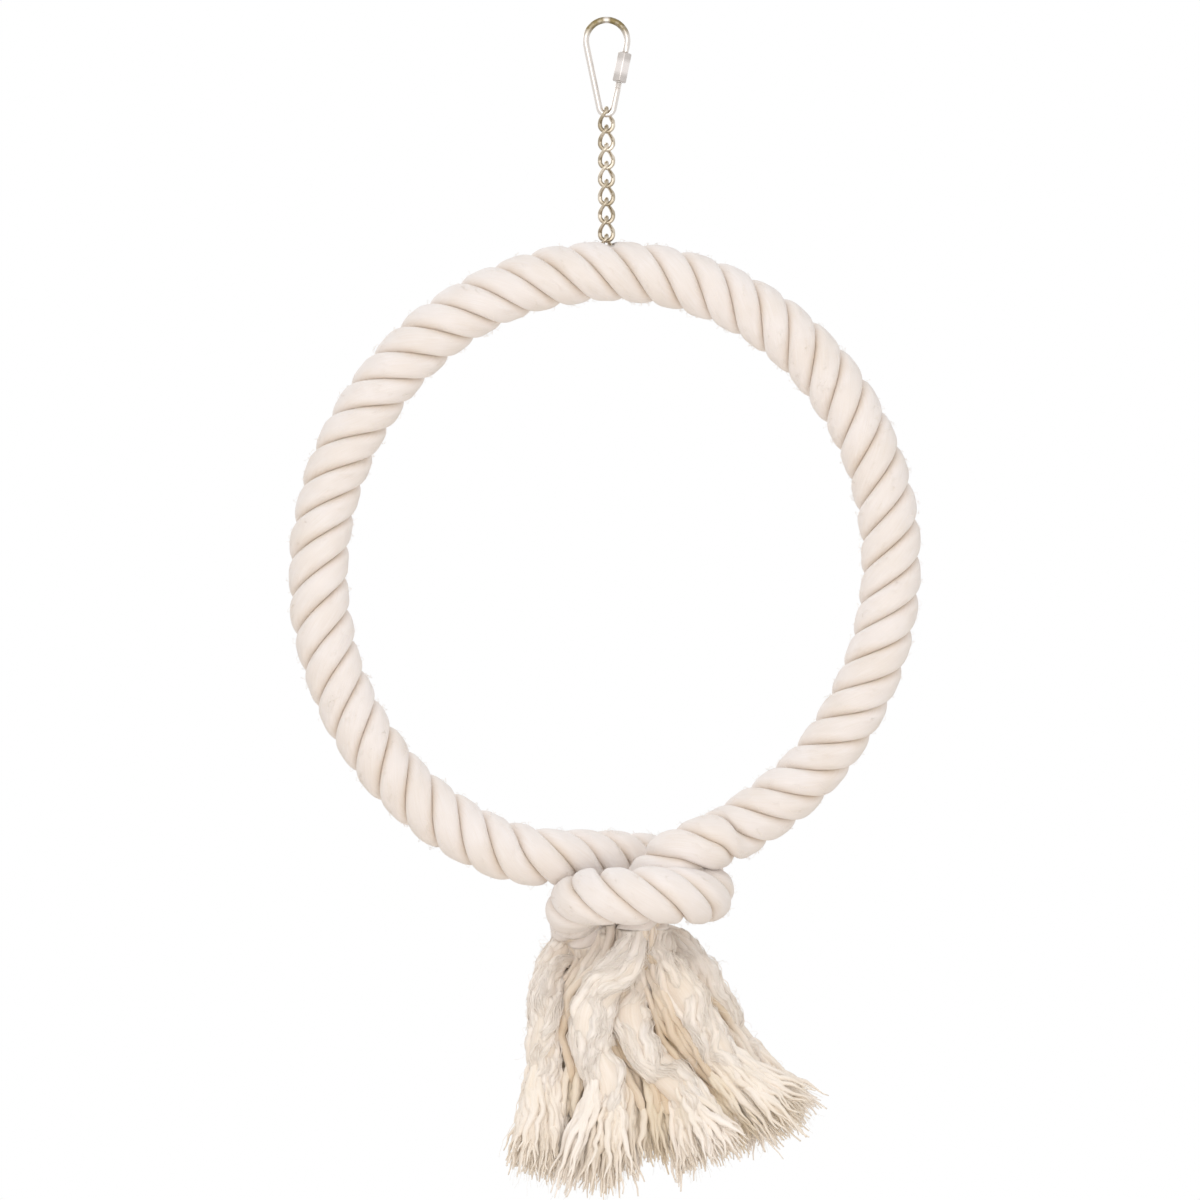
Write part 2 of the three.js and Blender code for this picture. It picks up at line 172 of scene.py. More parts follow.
def ring_radius(angle):
    return RING_RADIUS + RING_OVALITY * math.cos(2 * (angle - RING_LONG_AXIS))


_, core_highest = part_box("core_wire")
ring_height = core_highest.z - CORE_DIAMETER / 2 - ring_radius(math.pi / 2)


def ring_point(angle):
    across = RING_OFFSET + ring_radius(angle) * math.cos(angle)
    return np.array([across, 0, ring_height + ring_radius(angle) * math.sin(angle)])


knot_origin = ring_point(-math.pi / 2) * (0, 1, 1) + (RING_OFFSET, 0, 0)
knot_centre = knot_origin + ROPE_DIAMETER * np.array(KNOT_CENTRE)
route = [knot_origin + ROPE_DIAMETER * np.array(p) for p in reversed(LEFT_ARM)]
route += [
    ring_point(math.radians(angle))
    for angle in range(LEFT_LEAVES_RING, RIGHT_LEAVES_RING - 361, -RING_POINT_STEP)
]
route += [knot_origin + ROPE_DIAMETER * np.array(p) for p in RIGHT_ARM]
rope_line = smooth_line(route)
rope_length = evenly_along(rope_line, 2)[1]
lay_steps = round(rope_length / LAY_LENGTH * STEPS_PER_LAY)
step_points, _ = evenly_along(rope_line, lay_steps + 1)
step_tangents = headings(step_points)
# The first side is square to the line, in the plane of the line and the axis that it follows least.
least = np.eye(3)[np.argmin(np.abs(step_tangents[0]))]
step_sides = carried_along(step_tangents, np.cross(step_tangents[0], np.cross(step_tangents[0], least)))

# The lay is turned so that a groove faces straight up under the chain.
fine_points, _ = evenly_along(rope_line, FINE_STEPS + 1)
chain_along = np.argmin(np.linalg.norm(fine_points - ring_point(math.pi / 2), axis=1)) / FINE_STEPS
chain_step = round(chain_along * lay_steps)
chain_across = np.cross(step_tangents[chain_step], step_sides[chain_step])
out_angle = math.atan2(chain_across[2], step_sides[chain_step][2])


def eased(value, low, high):
    share = np.clip((value - low) / (high - low), 0, 1)
    return share * share * (3 - 2 * share)


def rope_frames(count):
    """The rope's middle, its two sides across, the turn of its lay and its squeeze, at even steps."""
    middle, _ = evenly_along(rope_line, count)
    along = np.linspace(0, 1, count)
    tangent = headings(middle)
    at = along * lay_steps
    side = np.stack([np.interp(at, np.arange(lay_steps + 1), step_sides[:, k]) for k in range(3)], axis=1)
    side = unit(square_to(side, tangent))
    across = np.cross(tangent, side)
    turn = out_angle + math.tau * (along - chain_along) * rope_length / LAY_LENGTH
    distance = np.linalg.norm(middle - knot_centre, axis=1) / ROPE_DIAMETER
    squeeze = KNOT_SQUEEZE + (1 - KNOT_SQUEEZE) * eased(distance, TIGHT_WITHIN, LOOSE_BEYOND)
    return middle, tangent, side, across, turn, squeeze


# Loose ends
# Past the knot each arm comes apart into its three strands of soft cotton roving, which hang in waves.
# Each is a bundle of yarns that has lost its twist and fluffed up, and ends frayed like a brush.
TAIL_DIAMETER = 13.2 * MM
STRAND_GAP = 0.6 * MM
SEAT_GAP = 0.3 * MM
TAIL_LEAD = 3 * MM
TUFT_LENGTHS = MM * np.array([43, 40, 36, 42, 28, 37])  # of the six frayed ends
# From each strand's root, in millimetres: the left arm's three, then the right arm's.
TAIL_ROUTES = [
    [
        (-1.5, 2.5, -8), (-8.5, -4, -17), (-14, -13, -27), (-12.5, -20, -43), (-12.5, -22, -59),
        (-10.5, -24, -79),
    ],
    [(2.5, 6, -10), (9.5, 10, -22), (18.5, 12, -34), (28.5, 12, -46), (37.5, 10, -59), (42.5, 8, -73)],
    [
        (6.5, 9, -6.5), (16.5, 13, -9), (30.5, 12, -10), (44.5, 6, -12.5), (55.5, -2, -18.5),
        (64.5, -7, -28.5), (71.5, -5, -43.5), (78, 0, -59.5), (83, 3, -74.5),
    ],
    [
        (-3.5, -3.5, -13), (-12.5, -7.5, -24), (-20.5, -8.5, -35), (-22.5, -7.5, -48), (-18.5, -6.5, -61),
        (-12.5, -7.5, -75), (-12.5, -8.5, -87),
    ],
    [
        (0.5, -2.5, -16.5), (-0.5, -8.5, -30.5), (-1.5, -13.5, -44.5), (5.5, -16.5, -58.5),
        (17.5, -18.5, -70.5), (27.5, -21, -81), (32, -22.5, -90),
    ],
    [(4, -4, -14), (12, -9, -24), (21, -10, -34), (29, -9, -46), (35, -9, -59), (42, -8, -73)],
]
TAIL_SAG = MM * np.array([6, 0, -10, 2, 0, -7])  # how far each strand sags to the right
SAG_POWERS = [0.8, 1, 1.8, 1, 1, 1.8]  # 1 for a sag that is deepest half way down, more for a lower one
LINE_POINTS = 200
CLUMPS = 5
CLUMP_START = 0.27 * TAIL_DIAMETER  # how far out the clumps lie at the root
CLUMP_WAVE = 44 * MM
CLUMP_DRIFT = 2.2 * MM
YARNS_PER_CLUMP = 11
YARN_WAVE = 38 * MM
YARN_DRIFT = 0.5 * MM
CLUMP_TWIST = 0.5  # turns of a clump's yarns from root to end
YARN_RADIUS = 2.1 * MM
YARN_STEP = 2 * MM
YARN_SIDES = 8
YARN_TURN = 0.4  # turns of a bundle in 100 mm
YARN_TAPER = 0.6
TAPER_FROM = 0.95  # from here down its length a yarn gets thinner
GOLDEN_TURN = 3 - math.sqrt(5)  # in half turns, it spreads yarns evenly over a bundle's section
CLUMP_RADIUS = 4.4 * MM
TIGHT_SHARE = 0.75  # how wide a clump is at the root, against its loosest
FLUFFED_RADII = MM * np.array([8.6, 10.4, 8.8, 10.4, 10.4, 9])  # of the loosened bundles
HEART_SHARE = 0.76  # how much of that the unparted roving in the middle of a bundle takes up
HEART_SIDES = 24
LOCKS_PER_YARN = 4
LOCK_RADIUS = 1.7 * MM
LOCK_STEPS = 16
LOCK_SIDES = 6
LOCK_WAVE = 30 * MM
LOCK_CURL = 0.9 * MM
FIBRES_PER_YARN = 3
FIBRE_RADIUS = 0.2 * MM
FIBRE_SIDES = 3
TUFT_WIDTH = 10.4 * MM
TUFT_SPREAD = 10 * MM  # how far the outer locks of a tuft stand out at its end
COMBED_FIBRES = 420  # that lie along each loose strand's yarns
COMBED_STEPS = 13
STRAYS = 120  # fine fibres that stand off each loose strand
STRAY_RADIUS = 0.1 * MM
STRAY_LENGTH = 14 * MM
STRAY_STEPS = 9
PATCH_SIZE = 22 * MM  # of the cotton's warmer patches
STREAK_TONE = 0.18  # how far the streaks and the patches go towards the shaded colour, the one painted into the hollows as shade
PATCH_TONE = 0.2
RIGHT_AND_BACK = np.eye(3)[:2]


def srgb(code):
    """A colour written as hex, in the linear values that a shader takes."""
    parts = [int(code[i:i + 2], 16) / 255 for i in (1, 3, 5)]
    return [*(p / 12.92 if p <= 0.04045 else ((p + 0.055) / 1.055) ** 2.4 for p in parts), 1]


def add_node(material, kind, settings=(), links=()):
    """Adds a node, sets its values and fields, and links its inputs from other nodes' outputs."""
    node = material.node_tree.nodes.new(kind)
    for key, value in dict(settings).items():
        if hasattr(node, str(key)) and not isinstance(key, int):
            setattr(node, key, value)
        else:
            node.inputs[key].default_value = value
    for key, output in dict(links).items():
        material.node_tree.links.new(output, node.inputs[key])
    return node


def new_material(name):
    """An empty material with its surface shader."""
    material = bpy.data.materials.new(name)
    material.use_nodes = True
    return material, material.node_tree.nodes["Principled BSDF"]


def cotton_material(name, lit, shaded, streak_width, streak_length, streak_height, depth_of_light=0.0):
    """Undyed cotton roving, combed and carded: matt and soft, with the fine streaks of its fibres along
    the yarn, painted shade, warmer and darker, in the hollows between yarns, where the colour goes towards
    the shaded one, and a faint bloom from the loose fibre ends.
    The fibres are much finer than the streaks, which are as coarse as they need to be to show."""
    material, surface = new_material(name)
    place = add_node(material, "ShaderNodeUVMap", {"uv_map": "fibres"})
    stretched = add_node(
        material, "ShaderNodeMapping", {"Scale": (1 / streak_width, 1 / streak_length, 1)},
        {"Vector": place.outputs["UV"]},
    )
    streaks = add_node(
        material, "ShaderNodeTexNoise", {"Scale": 1.0, "Detail": 3.0, "Roughness": 0.6},
        {"Vector": stretched.outputs["Vector"]},
    )
    world = add_node(material, "ShaderNodeTexCoord")
    patches = add_node(
        material, "ShaderNodeTexNoise", {"Scale": 1 / PATCH_SIZE, "Detail": 2.0},
        {"Vector": world.outputs["Object"]},
    )
    # Painted shade: the mesh's attribute says how far each point's colour goes towards the shaded one.
    painted_shade = add_node(material, "ShaderNodeAttribute", {"attribute_name": "painted_shade"})
    streak_tone, patch_tone = (
        add_node(
            material, "ShaderNodeMapRange", {"From Min": 0.35, "From Max": 0.7, "To Max": most},
            {"Value": pattern.outputs["Fac"]},
        )
        for pattern, most in ((streaks, STREAK_TONE), (patches, PATCH_TONE))
    )
    both = add_node(
        material, "ShaderNodeMath", {"operation": "ADD"},
        {0: streak_tone.outputs["Result"], 1: patch_tone.outputs["Result"]},
    )
    tone = add_node(
        material, "ShaderNodeMath", {"operation": "ADD", "use_clamp": True},
        {0: both.outputs["Value"], 1: painted_shade.outputs["Fac"]},
    )
    colour = add_node(
        material, "ShaderNodeMix", {"data_type": "RGBA", 6: srgb(lit), 7: srgb(shaded)},
        {0: tone.outputs["Value"]},
    )
    relief = add_node(
        material, "ShaderNodeBump", {"Strength": 0.8, "Distance": streak_height},
        {"Height": streaks.outputs["Fac"]},
    )
    links = material.node_tree.links
    links.new(colour.outputs[2], surface.inputs["Base Color"])
    links.new(relief.outputs["Normal"], surface.inputs["Normal"])
    for field, value in (
        ("Roughness", 0.95), ("Specular IOR Level", 0.25), ("Subsurface Weight", depth_of_light),
        ("Subsurface Radius", (1.0, 1.0, 1.0)), ("Subsurface Scale", 1.5 * MM),
        ("Sheen Weight", 0.2), ("Sheen Roughness", 0.6),
    ):
        surface.inputs[field].default_value = value
    return material


def fibrous_piece(name, points, faces, around, down, painted_shade):
    """One smooth mesh. Each point has its place around and down the fibres, and how much painted shade goes
    into its colour.
    """
    mesh = bpy.data.meshes.new(name)
    mesh.from_pydata(points.reshape(-1, 3).tolist(), [], faces)
    corner_of = np.empty(len(mesh.loops), int)
    mesh.loops.foreach_get("vertex_index", corner_of)
    uv = np.stack([around.reshape(-1)[corner_of], down.reshape(-1)[corner_of]], axis=1)
    mesh.uv_layers.new(name="fibres").data.foreach_set("uv", uv.reshape(-1).astype(np.float32))
    # How much painted shade each point takes in its colour.
    depth = mesh.attributes.new("painted_shade", "FLOAT", "POINT")
    depth.data.foreach_set("value", painted_shade.reshape(-1).astype(np.float32))
    mesh.polygons.foreach_set("use_smooth", np.ones(len(mesh.polygons), bool))
    piece = bpy.data.objects.new(name, mesh)
    bpy.context.scene.collection.objects.link(piece)
    return piece


def skin(index):
    """The faces between neighbouring rings of points, each with its points' numbers."""
    a, b = index[..., :-1, :], index[..., 1:, :]
    faces = np.stack([a, np.roll(a, -1, axis=-1), np.roll(b, -1, axis=-1), b], axis=-1)
    return faces.reshape(-1, 4).tolist()


def tubes(name, paths, radii, sides, painted_shade):
    """Many closed tubes as one piece: paths is tubes by steps by 3, and radii and the painted shade of the
    colour are tubes by steps.
    """
    count, steps, _ = paths.shape
    tangents = headings(paths)
    side = np.zeros_like(paths)
    side[:, 0] = unit(square_to(RIGHT_AND_BACK[1], tangents[:, 0]))
    for i in range(1, steps):
        side[:, i] = unit(square_to(side[:, i - 1], tangents[:, i]))
    across = np.cross(tangents, side)
    angles = math.tau * np.arange(sides) / sides
    ring = side[:, :, None] * np.cos(angles)[:, None] + across[:, :, None] * np.sin(angles)[:, None]
    points = paths[:, :, None] + radii[:, :, None, None] * ring
    index = np.arange(count * steps * sides).reshape(count, steps, sides)
    faces = [*skin(index), *index[:, 0, ::-1].tolist(), *index[:, -1].tolist()]
    far = np.concatenate(
        [np.zeros((count, 1)), np.cumsum(np.linalg.norm(np.diff(paths, axis=1), axis=2), axis=1)], axis=1,
    )
    spread = radii.mean(axis=1)[:, None, None] * angles + np.arange(count)[:, None, None] * 7 * MM
    around = np.broadcast_to(spread, (count, steps, sides))
    down = np.broadcast_to(far[:, :, None], (count, steps, sides))
    return fibrous_piece(name, points, faces, around, down, np.repeat(painted_shade.reshape(-1), sides))


def spokes(angles):
    """How far each angle points along one side and the other."""
    return np.stack([np.cos(angles), np.sin(angles)], axis=-1)


def level(steps):
    """Sideways steps as steps along X and Y."""
    return np.concatenate([steps, np.zeros((*steps.shape[:-1], 1))], axis=-1)


def wander(draw, count, steps, length, wave, size):
    """Smooth sideways drift of that many lines: a few slow waves each, at rest where the line starts."""
    along = np.linspace(0, length, steps)
    drift = np.zeros((count, steps, 2))
    for strength, stretch in ((1, 1), (0.5, 0.47), (0.25, 0.23)):
        phase = draw.uniform(0, math.tau, (count, 1, 2))
        pace = draw.uniform(0.8, 1.25, (count, 1, 2))
        drift += strength * np.sin(math.tau * pace * along[None, :, None] / (wave * stretch) + phase)
    return size * drift * eased(along, 0, 0.4 * wave)[None, :, None]


def strays(name, draw, paths, count, stand_off, radius, length, centres):
    """Fine curled fibres that leave the surface of some yarns, away from the bundle's middle line."""
    tubes_count, steps, _ = paths.shape
    which = draw.integers(0, tubes_count, count)
    at = draw.integers(2, steps - 2, count)
    base = paths[which, at]
    along = unit(paths[which, at + 1] - paths[which, at - 1]) * draw.choice([-1, 1], (count, 1))
    away = unit(base - centres[at] + draw.normal(0, 1 * MM, (count, 3)))
    share = np.linspace(0, 1, STRAY_STEPS)
    reach = draw.uniform(0.4, 1.0, count) * length
    curl = wander(draw, count, STRAY_STEPS, length, length, 0.12 * length)
    across = np.cross(along, away)
    hair = base[:, None] + along[:, None] * (reach[:, None] * share)[:, :, None]
    hair = hair + away[:, None] * (radius * 0.8 + stand_off * np.sin(share * 2.2)[None, :, None])
    hair = hair + curl[:, :, :1] * away[:, None] + curl[:, :, 1:] * across[:, None]
    thick = STRAY_RADIUS * np.ones((count, 1)) * (1 - 0.5 * share)
    return tubes(name, hair, thick, FIBRE_SIDES, np.zeros((count, STRAY_STEPS)))


def combed_fibres(name, draw, yarns, count):
    """Fine fibres that lie along the outside of the yarns, a little apart from them here and there."""
    bundle, steps, _ = yarns.shape
    which = draw.integers(0, bundle, count)
    start = draw.integers(0, steps - COMBED_STEPS, count)
    at = start[:, None] + np.arange(COMBED_STEPS)
    base = yarns[which[:, None], at]
    centre = yarns.mean(axis=0)[at]
    away = base - centre + draw.normal(0, 1.5 * MM, (count, 1, 3))
    along = headings(base)
    away = unit(square_to(away, along))
    across = np.cross(along, away)
    drift = wander(draw, count, COMBED_STEPS, 30 * MM, 24 * MM, 0.45 * MM)
    lift = YARN_RADIUS * draw.uniform(0.75, 1.2, (count, 1, 1))
    hair = base + away * (lift + drift[:, :, :1]) + across * drift[:, :, 1:] * 2
    thick = FIBRE_RADIUS * draw.uniform(0.6, 1.4, (count, 1)) * np.ones(COMBED_STEPS)
    return tubes(name, hair, thick, FIBRE_SIDES, np.zeros((count, COMBED_STEPS)))


def joined(pieces, name):
    """Several meshes as one piece that rides on the ring."""
    for piece in bpy.context.view_layer.objects:
        piece.select_set(piece in pieces)
    bpy.context.view_layer.objects.active = pieces[0]
    bpy.ops.object.join()
    pieces[0].name = name
    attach(pieces[0], "ring")
    return pieces[0]


def yarn_thickness(draw, count, thinnest, far):
    """Radii of that many yarns, which get thinner just before their end."""
    taper = 1 - YARN_TAPER * eased(far, TAPER_FROM, 1)
    return YARN_RADIUS * draw.uniform(thinnest, 1.15, (count, 1)) * taper


loose_cotton = cotton_material("carded_cotton_loose", "#F9F1EA", "#D0B896", 0.9 * MM, 16 * MM, 0.2 * MM, 0.25)
frayed_cotton = cotton_material("carded_cotton_frayed", "#F9F1EA", "#DDCCB0", 0.8 * MM, 16 * MM, 0.1 * MM)


def frayed_end(name, draw, yarns, tip, tip_heading, side, across, reach, spread, shade):
    """The end of a bundle: every yarn parts into soft locks and fine fibres, which leave it at different
    heights, spread and end raggedly."""
    highest, lowest = 13, 4  # steps from the yarn's end where they leave it
    parts = []
    for per_yarn, radius, sides, ragged in (
        (LOCKS_PER_YARN, LOCK_RADIUS, LOCK_SIDES, 0.1), (FIBRES_PER_YARN, FIBRE_RADIUS, FIBRE_SIDES, 0.3),
    ):
        count = len(yarns) * per_yarn
        share = np.linspace(0, 1, LOCK_STEPS)
        which = np.repeat(np.arange(len(yarns)), per_yarn)
        start = yarns[which, yarns.shape[1] - draw.integers(lowest, highest, count)]
        heading = unit(yarns[which, -1] - start)
        above = np.linalg.norm(yarns[which, -lowest] - start, axis=1)
        long = above + reach * draw.uniform(0.74, 1.0, count)
        placed = square_to(start - tip, tip_heading)
        apart = draw.normal(0, 0.5 * YARN_RADIUS, (count, 3))
        lean = placed / TUFT_WIDTH + np.repeat(draw.normal(0, 0.25, (len(yarns), 3)), per_yarn, axis=0)
        lean = lean + draw.normal(0, ragged, (count, 3))
        curl = wander(draw, count, LOCK_STEPS, reach, LOCK_WAVE, LOCK_CURL)
        straighten = eased(share, 0, 0.5)[None, :, None]
        run = tip_heading * straighten + heading[:, None] * (1 - straighten)
        brush = start[:, None] + apart[:, None] * eased(share, 0, 0.35)[:, None]
        brush = brush + long[:, None, None] * share[:, None] * run
        brush = brush + spread * lean[:, None] * (share**1.4)[:, None]
        brush = brush + curl[:, :, :1] * side + curl[:, :, 1:] * across
        swell = eased(share, -0.1, 0.25) * (1 - 0.8 * eased(share, 0.5, 1.0))
        fine = radius * draw.uniform(0.7, 1.25, (count, 1)) * swell
        # Painted shade: locks nearer the middle of the tuft, and those of a shaded tuft, take more of the
        # shaded colour.
        inner = 0.4 * (1 - np.linalg.norm(placed, axis=1, keepdims=True) / TUFT_WIDTH) + shade
        parts.append((brush, fine, sides, np.clip(inner, 0, 1) * np.ones(LOCK_STEPS)))
    brush = joined([tubes(f"{name}_{i}", *part) for i, part in enumerate(parts)], name)
    brush.data.materials.append(frayed_cotton)
    return brush


end_middle, end_tangent, end_side, end_across, end_turn, _ = rope_frames(lay_steps + 1)
tail_root = (TAIL_DIAMETER + STRAND_GAP) / 2 / math.sin(math.pi / STRANDS)
loose_ends = []
for number, offsets in enumerate(TAIL_ROUTES, start=1):
    on_left_arm = number <= STRANDS
    end = 0 if on_left_arm else lay_steps
    crest = end_turn[end] + math.tau * ((number - 1) % STRANDS + 0.5) / STRANDS
    heading = end_tangent[end] * (-1 if on_left_arm else 1)
    outward = end_side[end] * math.cos(crest) + end_across[end] * math.sin(crest)
    root = end_middle[end] + tail_root * outward
    given = [root + SEAT_GAP * heading, root + TAIL_LEAD * heading]
    given += [root + MM * np.array(offset) for offset in offsets]
    tail_line, _ = evenly_along(smooth_line(given), LINE_POINTS)
    sag_phase = np.linspace(0, 1, LINE_POINTS) ** SAG_POWERS[number - 1]
    tail_line[:, 0] += TAIL_SAG[number - 1] * np.sin(math.pi * sag_phase)
    tail_line, tail_length = evenly_along(tail_line, LINE_POINTS)
    fluffed = FLUFFED_RADII[number - 1]

    draw = np.random.default_rng(100 + number)
    steps = round(tail_length / YARN_STEP)
    middle, _ = evenly_along(tail_line, steps)
    tangent = headings(middle)
    side = carried_along(tangent, outward)
    across = np.cross(tangent, side)
    far = np.linspace(0, 1, steps)
    # The strand comes apart into clumps of yarns that part and close as they go down. Each yarn keeps its
    # own place in its clump.
    loosening = eased(far, 0, 0.4)
    swing = draw.uniform(0, math.tau) + math.tau * np.arange(CLUMPS) / CLUMPS
    swing = swing + draw.normal(0, 0.2, CLUMPS)
    clump_turn = swing[:, None] + math.tau * YARN_TURN * far * tail_length / (100 * MM)
    clump_out = CLUMP_START + (fluffed - CLUMP_RADIUS - CLUMP_START) * loosening
    clump_drift = wander(draw, CLUMPS, steps, tail_length, CLUMP_WAVE, CLUMP_DRIFT)
    clump_at = spokes(clump_turn) * clump_out[:, None] + clump_drift
    rank = np.tile(np.sqrt((np.arange(YARNS_PER_CLUMP) + 0.5) / YARNS_PER_CLUMP), CLUMPS)
    yarn_count = CLUMPS * YARNS_PER_CLUMP
    turn = np.arange(yarn_count)[:, None] * math.pi * GOLDEN_TURN
    turn = turn + draw.uniform(-1, 1, (yarn_count, 1)) + math.tau * CLUMP_TWIST * far
    widening = TIGHT_SHARE + (1 - TIGHT_SHARE) * loosening
    reach = (CLUMP_RADIUS * widening - 0.6 * YARN_RADIUS) * rank[:, None]
    drift = wander(draw, yarn_count, steps, tail_length, YARN_WAVE, YARN_DRIFT)
    placed = np.repeat(clump_at, YARNS_PER_CLUMP, axis=0) + drift
    placed = placed + reach[:, :, None] * spokes(turn)
    limit = TAIL_DIAMETER / 2 - YARN_RADIUS * 0.8 + (fluffed - TAIL_DIAMETER / 2) * loosening
    beyond = np.maximum(np.linalg.norm(placed, axis=2) / limit, 1)
    placed = placed / beyond[:, :, None]
    yarns = middle + placed[:, :, :1] * side + placed[:, :, 1:] * across
    thick = yarn_thickness(draw, yarn_count, 0.75, far)
    # Painted shade: yarns nearer the middle of the bundle take more of the shaded colour, and the heart takes
    # a little all along.
    depth = 0.25 * np.clip(1 - np.linalg.norm(placed, axis=2) / limit, 0, 1)
    heart_radius = HEART_SHARE * fluffed * (widening + 0.05 * np.sin(far * 19 + number))
    strand = joined([
        tubes(f"yarns_{number}", yarns, thick, YARN_SIDES, depth),
        tubes(f"heart_{number}", middle[None], heart_radius[None], HEART_SIDES, 0.15 * np.ones((1, steps))),
    ], f"loose_strand_{number}")
    strand.data.materials.append(loose_cotton)
    tuft = frayed_end(
        f"frayed_end_{number}", draw, yarns, middle[-1], tangent[-1], side[-1], across[-1],
        TUFT_LENGTHS[number - 1], TUFT_SPREAD, 0,
    )
    hairs = joined([
        combed_fibres(f"combed_{number}", draw, yarns, COMBED_FIBRES),
        strays(f"strays_{number}", draw, yarns, STRAYS, 1.5 * MM, YARN_RADIUS, STRAY_LENGTH, middle),
    ], f"fine_fibres_{number}")
    hairs.data.materials.append(frayed_cotton)
    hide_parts(f"tail_strand_{number}")
    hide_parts(f"tail_tuft_{number}")
    loose_ends.append((strand, given[0], tail_line, tail_length, [tuft, hairs]))

# Yarns that have strayed from two neighbouring strands and run between them.
BRIDGES = [(1, 4), (4, 2), (4, 5), (2, 5), (5, 6), (6, 3)]
BRIDGE_YARNS = 18
BRIDGE_BACK = 6 * MM  # how far they hang behind the strands
BRIDGE_STEPS = 44
BRIDGE_SPREAD = 3.2 * MM
for first, second in BRIDGES:
    draw = np.random.default_rng(300 + 10 * first + second)
    lines = [evenly_along(loose_ends[n - 1][2], BRIDGE_STEPS)[0] for n in (first, second)]
    weight = draw.uniform(0.15, 0.85, (BRIDGE_YARNS, 1, 1))
    far = np.linspace(0, 1, BRIDGE_STEPS)[None, :, None]
    drift = level(wander(draw, BRIDGE_YARNS, BRIDGE_STEPS, 90 * MM, 50 * MM, 1.2 * MM))
    place = draw.normal(0, BRIDGE_SPREAD, (BRIDGE_YARNS, 1, 3)) * (0.8, 1, 0.6)
    yarns = lines[0] * (1 - weight) + lines[1] * weight + drift + place * (0.5 + 0.5 * far)
    yarns[:, :, 1] += BRIDGE_BACK * np.linspace(0.3, 1, BRIDGE_STEPS)
    thick = yarn_thickness(draw, BRIDGE_YARNS, 0.75, far[0, :, 0])
    # Painted shade: these yarns take more of the shaded colour further down.
    depth = np.ones((BRIDGE_YARNS, 1)) * (0.1 + 0.4 * eased(np.linspace(0, 1, BRIDGE_STEPS), 0.15, 0.6))
    filling = tubes(f"stray_yarns_{first}_{second}", yarns, thick, YARN_SIDES, depth)
    filling.data.materials.append(loose_cotton)
    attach(filling, "ring")
    fringe = frayed_end(
        f"frayed_strays_{first}_{second}", draw, yarns, yarns[:, -1].mean(axis=0),
        unit((yarns[:, -1] - yarns[:, -6]).mean(axis=0)), *RIGHT_AND_BACK, 30 * MM, 0.5 * TUFT_SPREAD, 0.3,
    )
    loose_ends[first - 1][4].extend([filling, fringe])

# Behind those, thinner bundles of yarns that have come away from the strands fill the tassel out. They
# hang as two curtains, one from each arm. Their front sides lie deep in the tassel, and painted shade
# turns them tan there, less near their roots and their ends.
CURTAIN_BUNDLES = 8
BUNDLE_YARNS = 8
BUNDLE_RADIUS = 4.2 * MM
CURTAIN_STEPS = 50
CURTAIN_FIBRES = 420
CURTAIN_ROOT = 7 * MM  # how far from the arm's middle its bundles start
CURTAIN_INSIDE = 9 * MM  # and how far inside the arm
CURTAINS = [  # arm, how far left and right its bundles end, and how far forward and back
    ("left", 0, (-35 * MM, 40 * MM), (3 * MM, 18 * MM)),
    ("right", lay_steps, (-16 * MM, 80 * MM), (-5 * MM, 13 * MM)),
]
CURTAIN_BOTTOM = -520 * MM
CURTAIN_RISE = 11 * MM  # of its bottom towards the right
CURTAIN_FRINGE = 36 * MM
down = np.array([0.0, 0.0, -1.0])
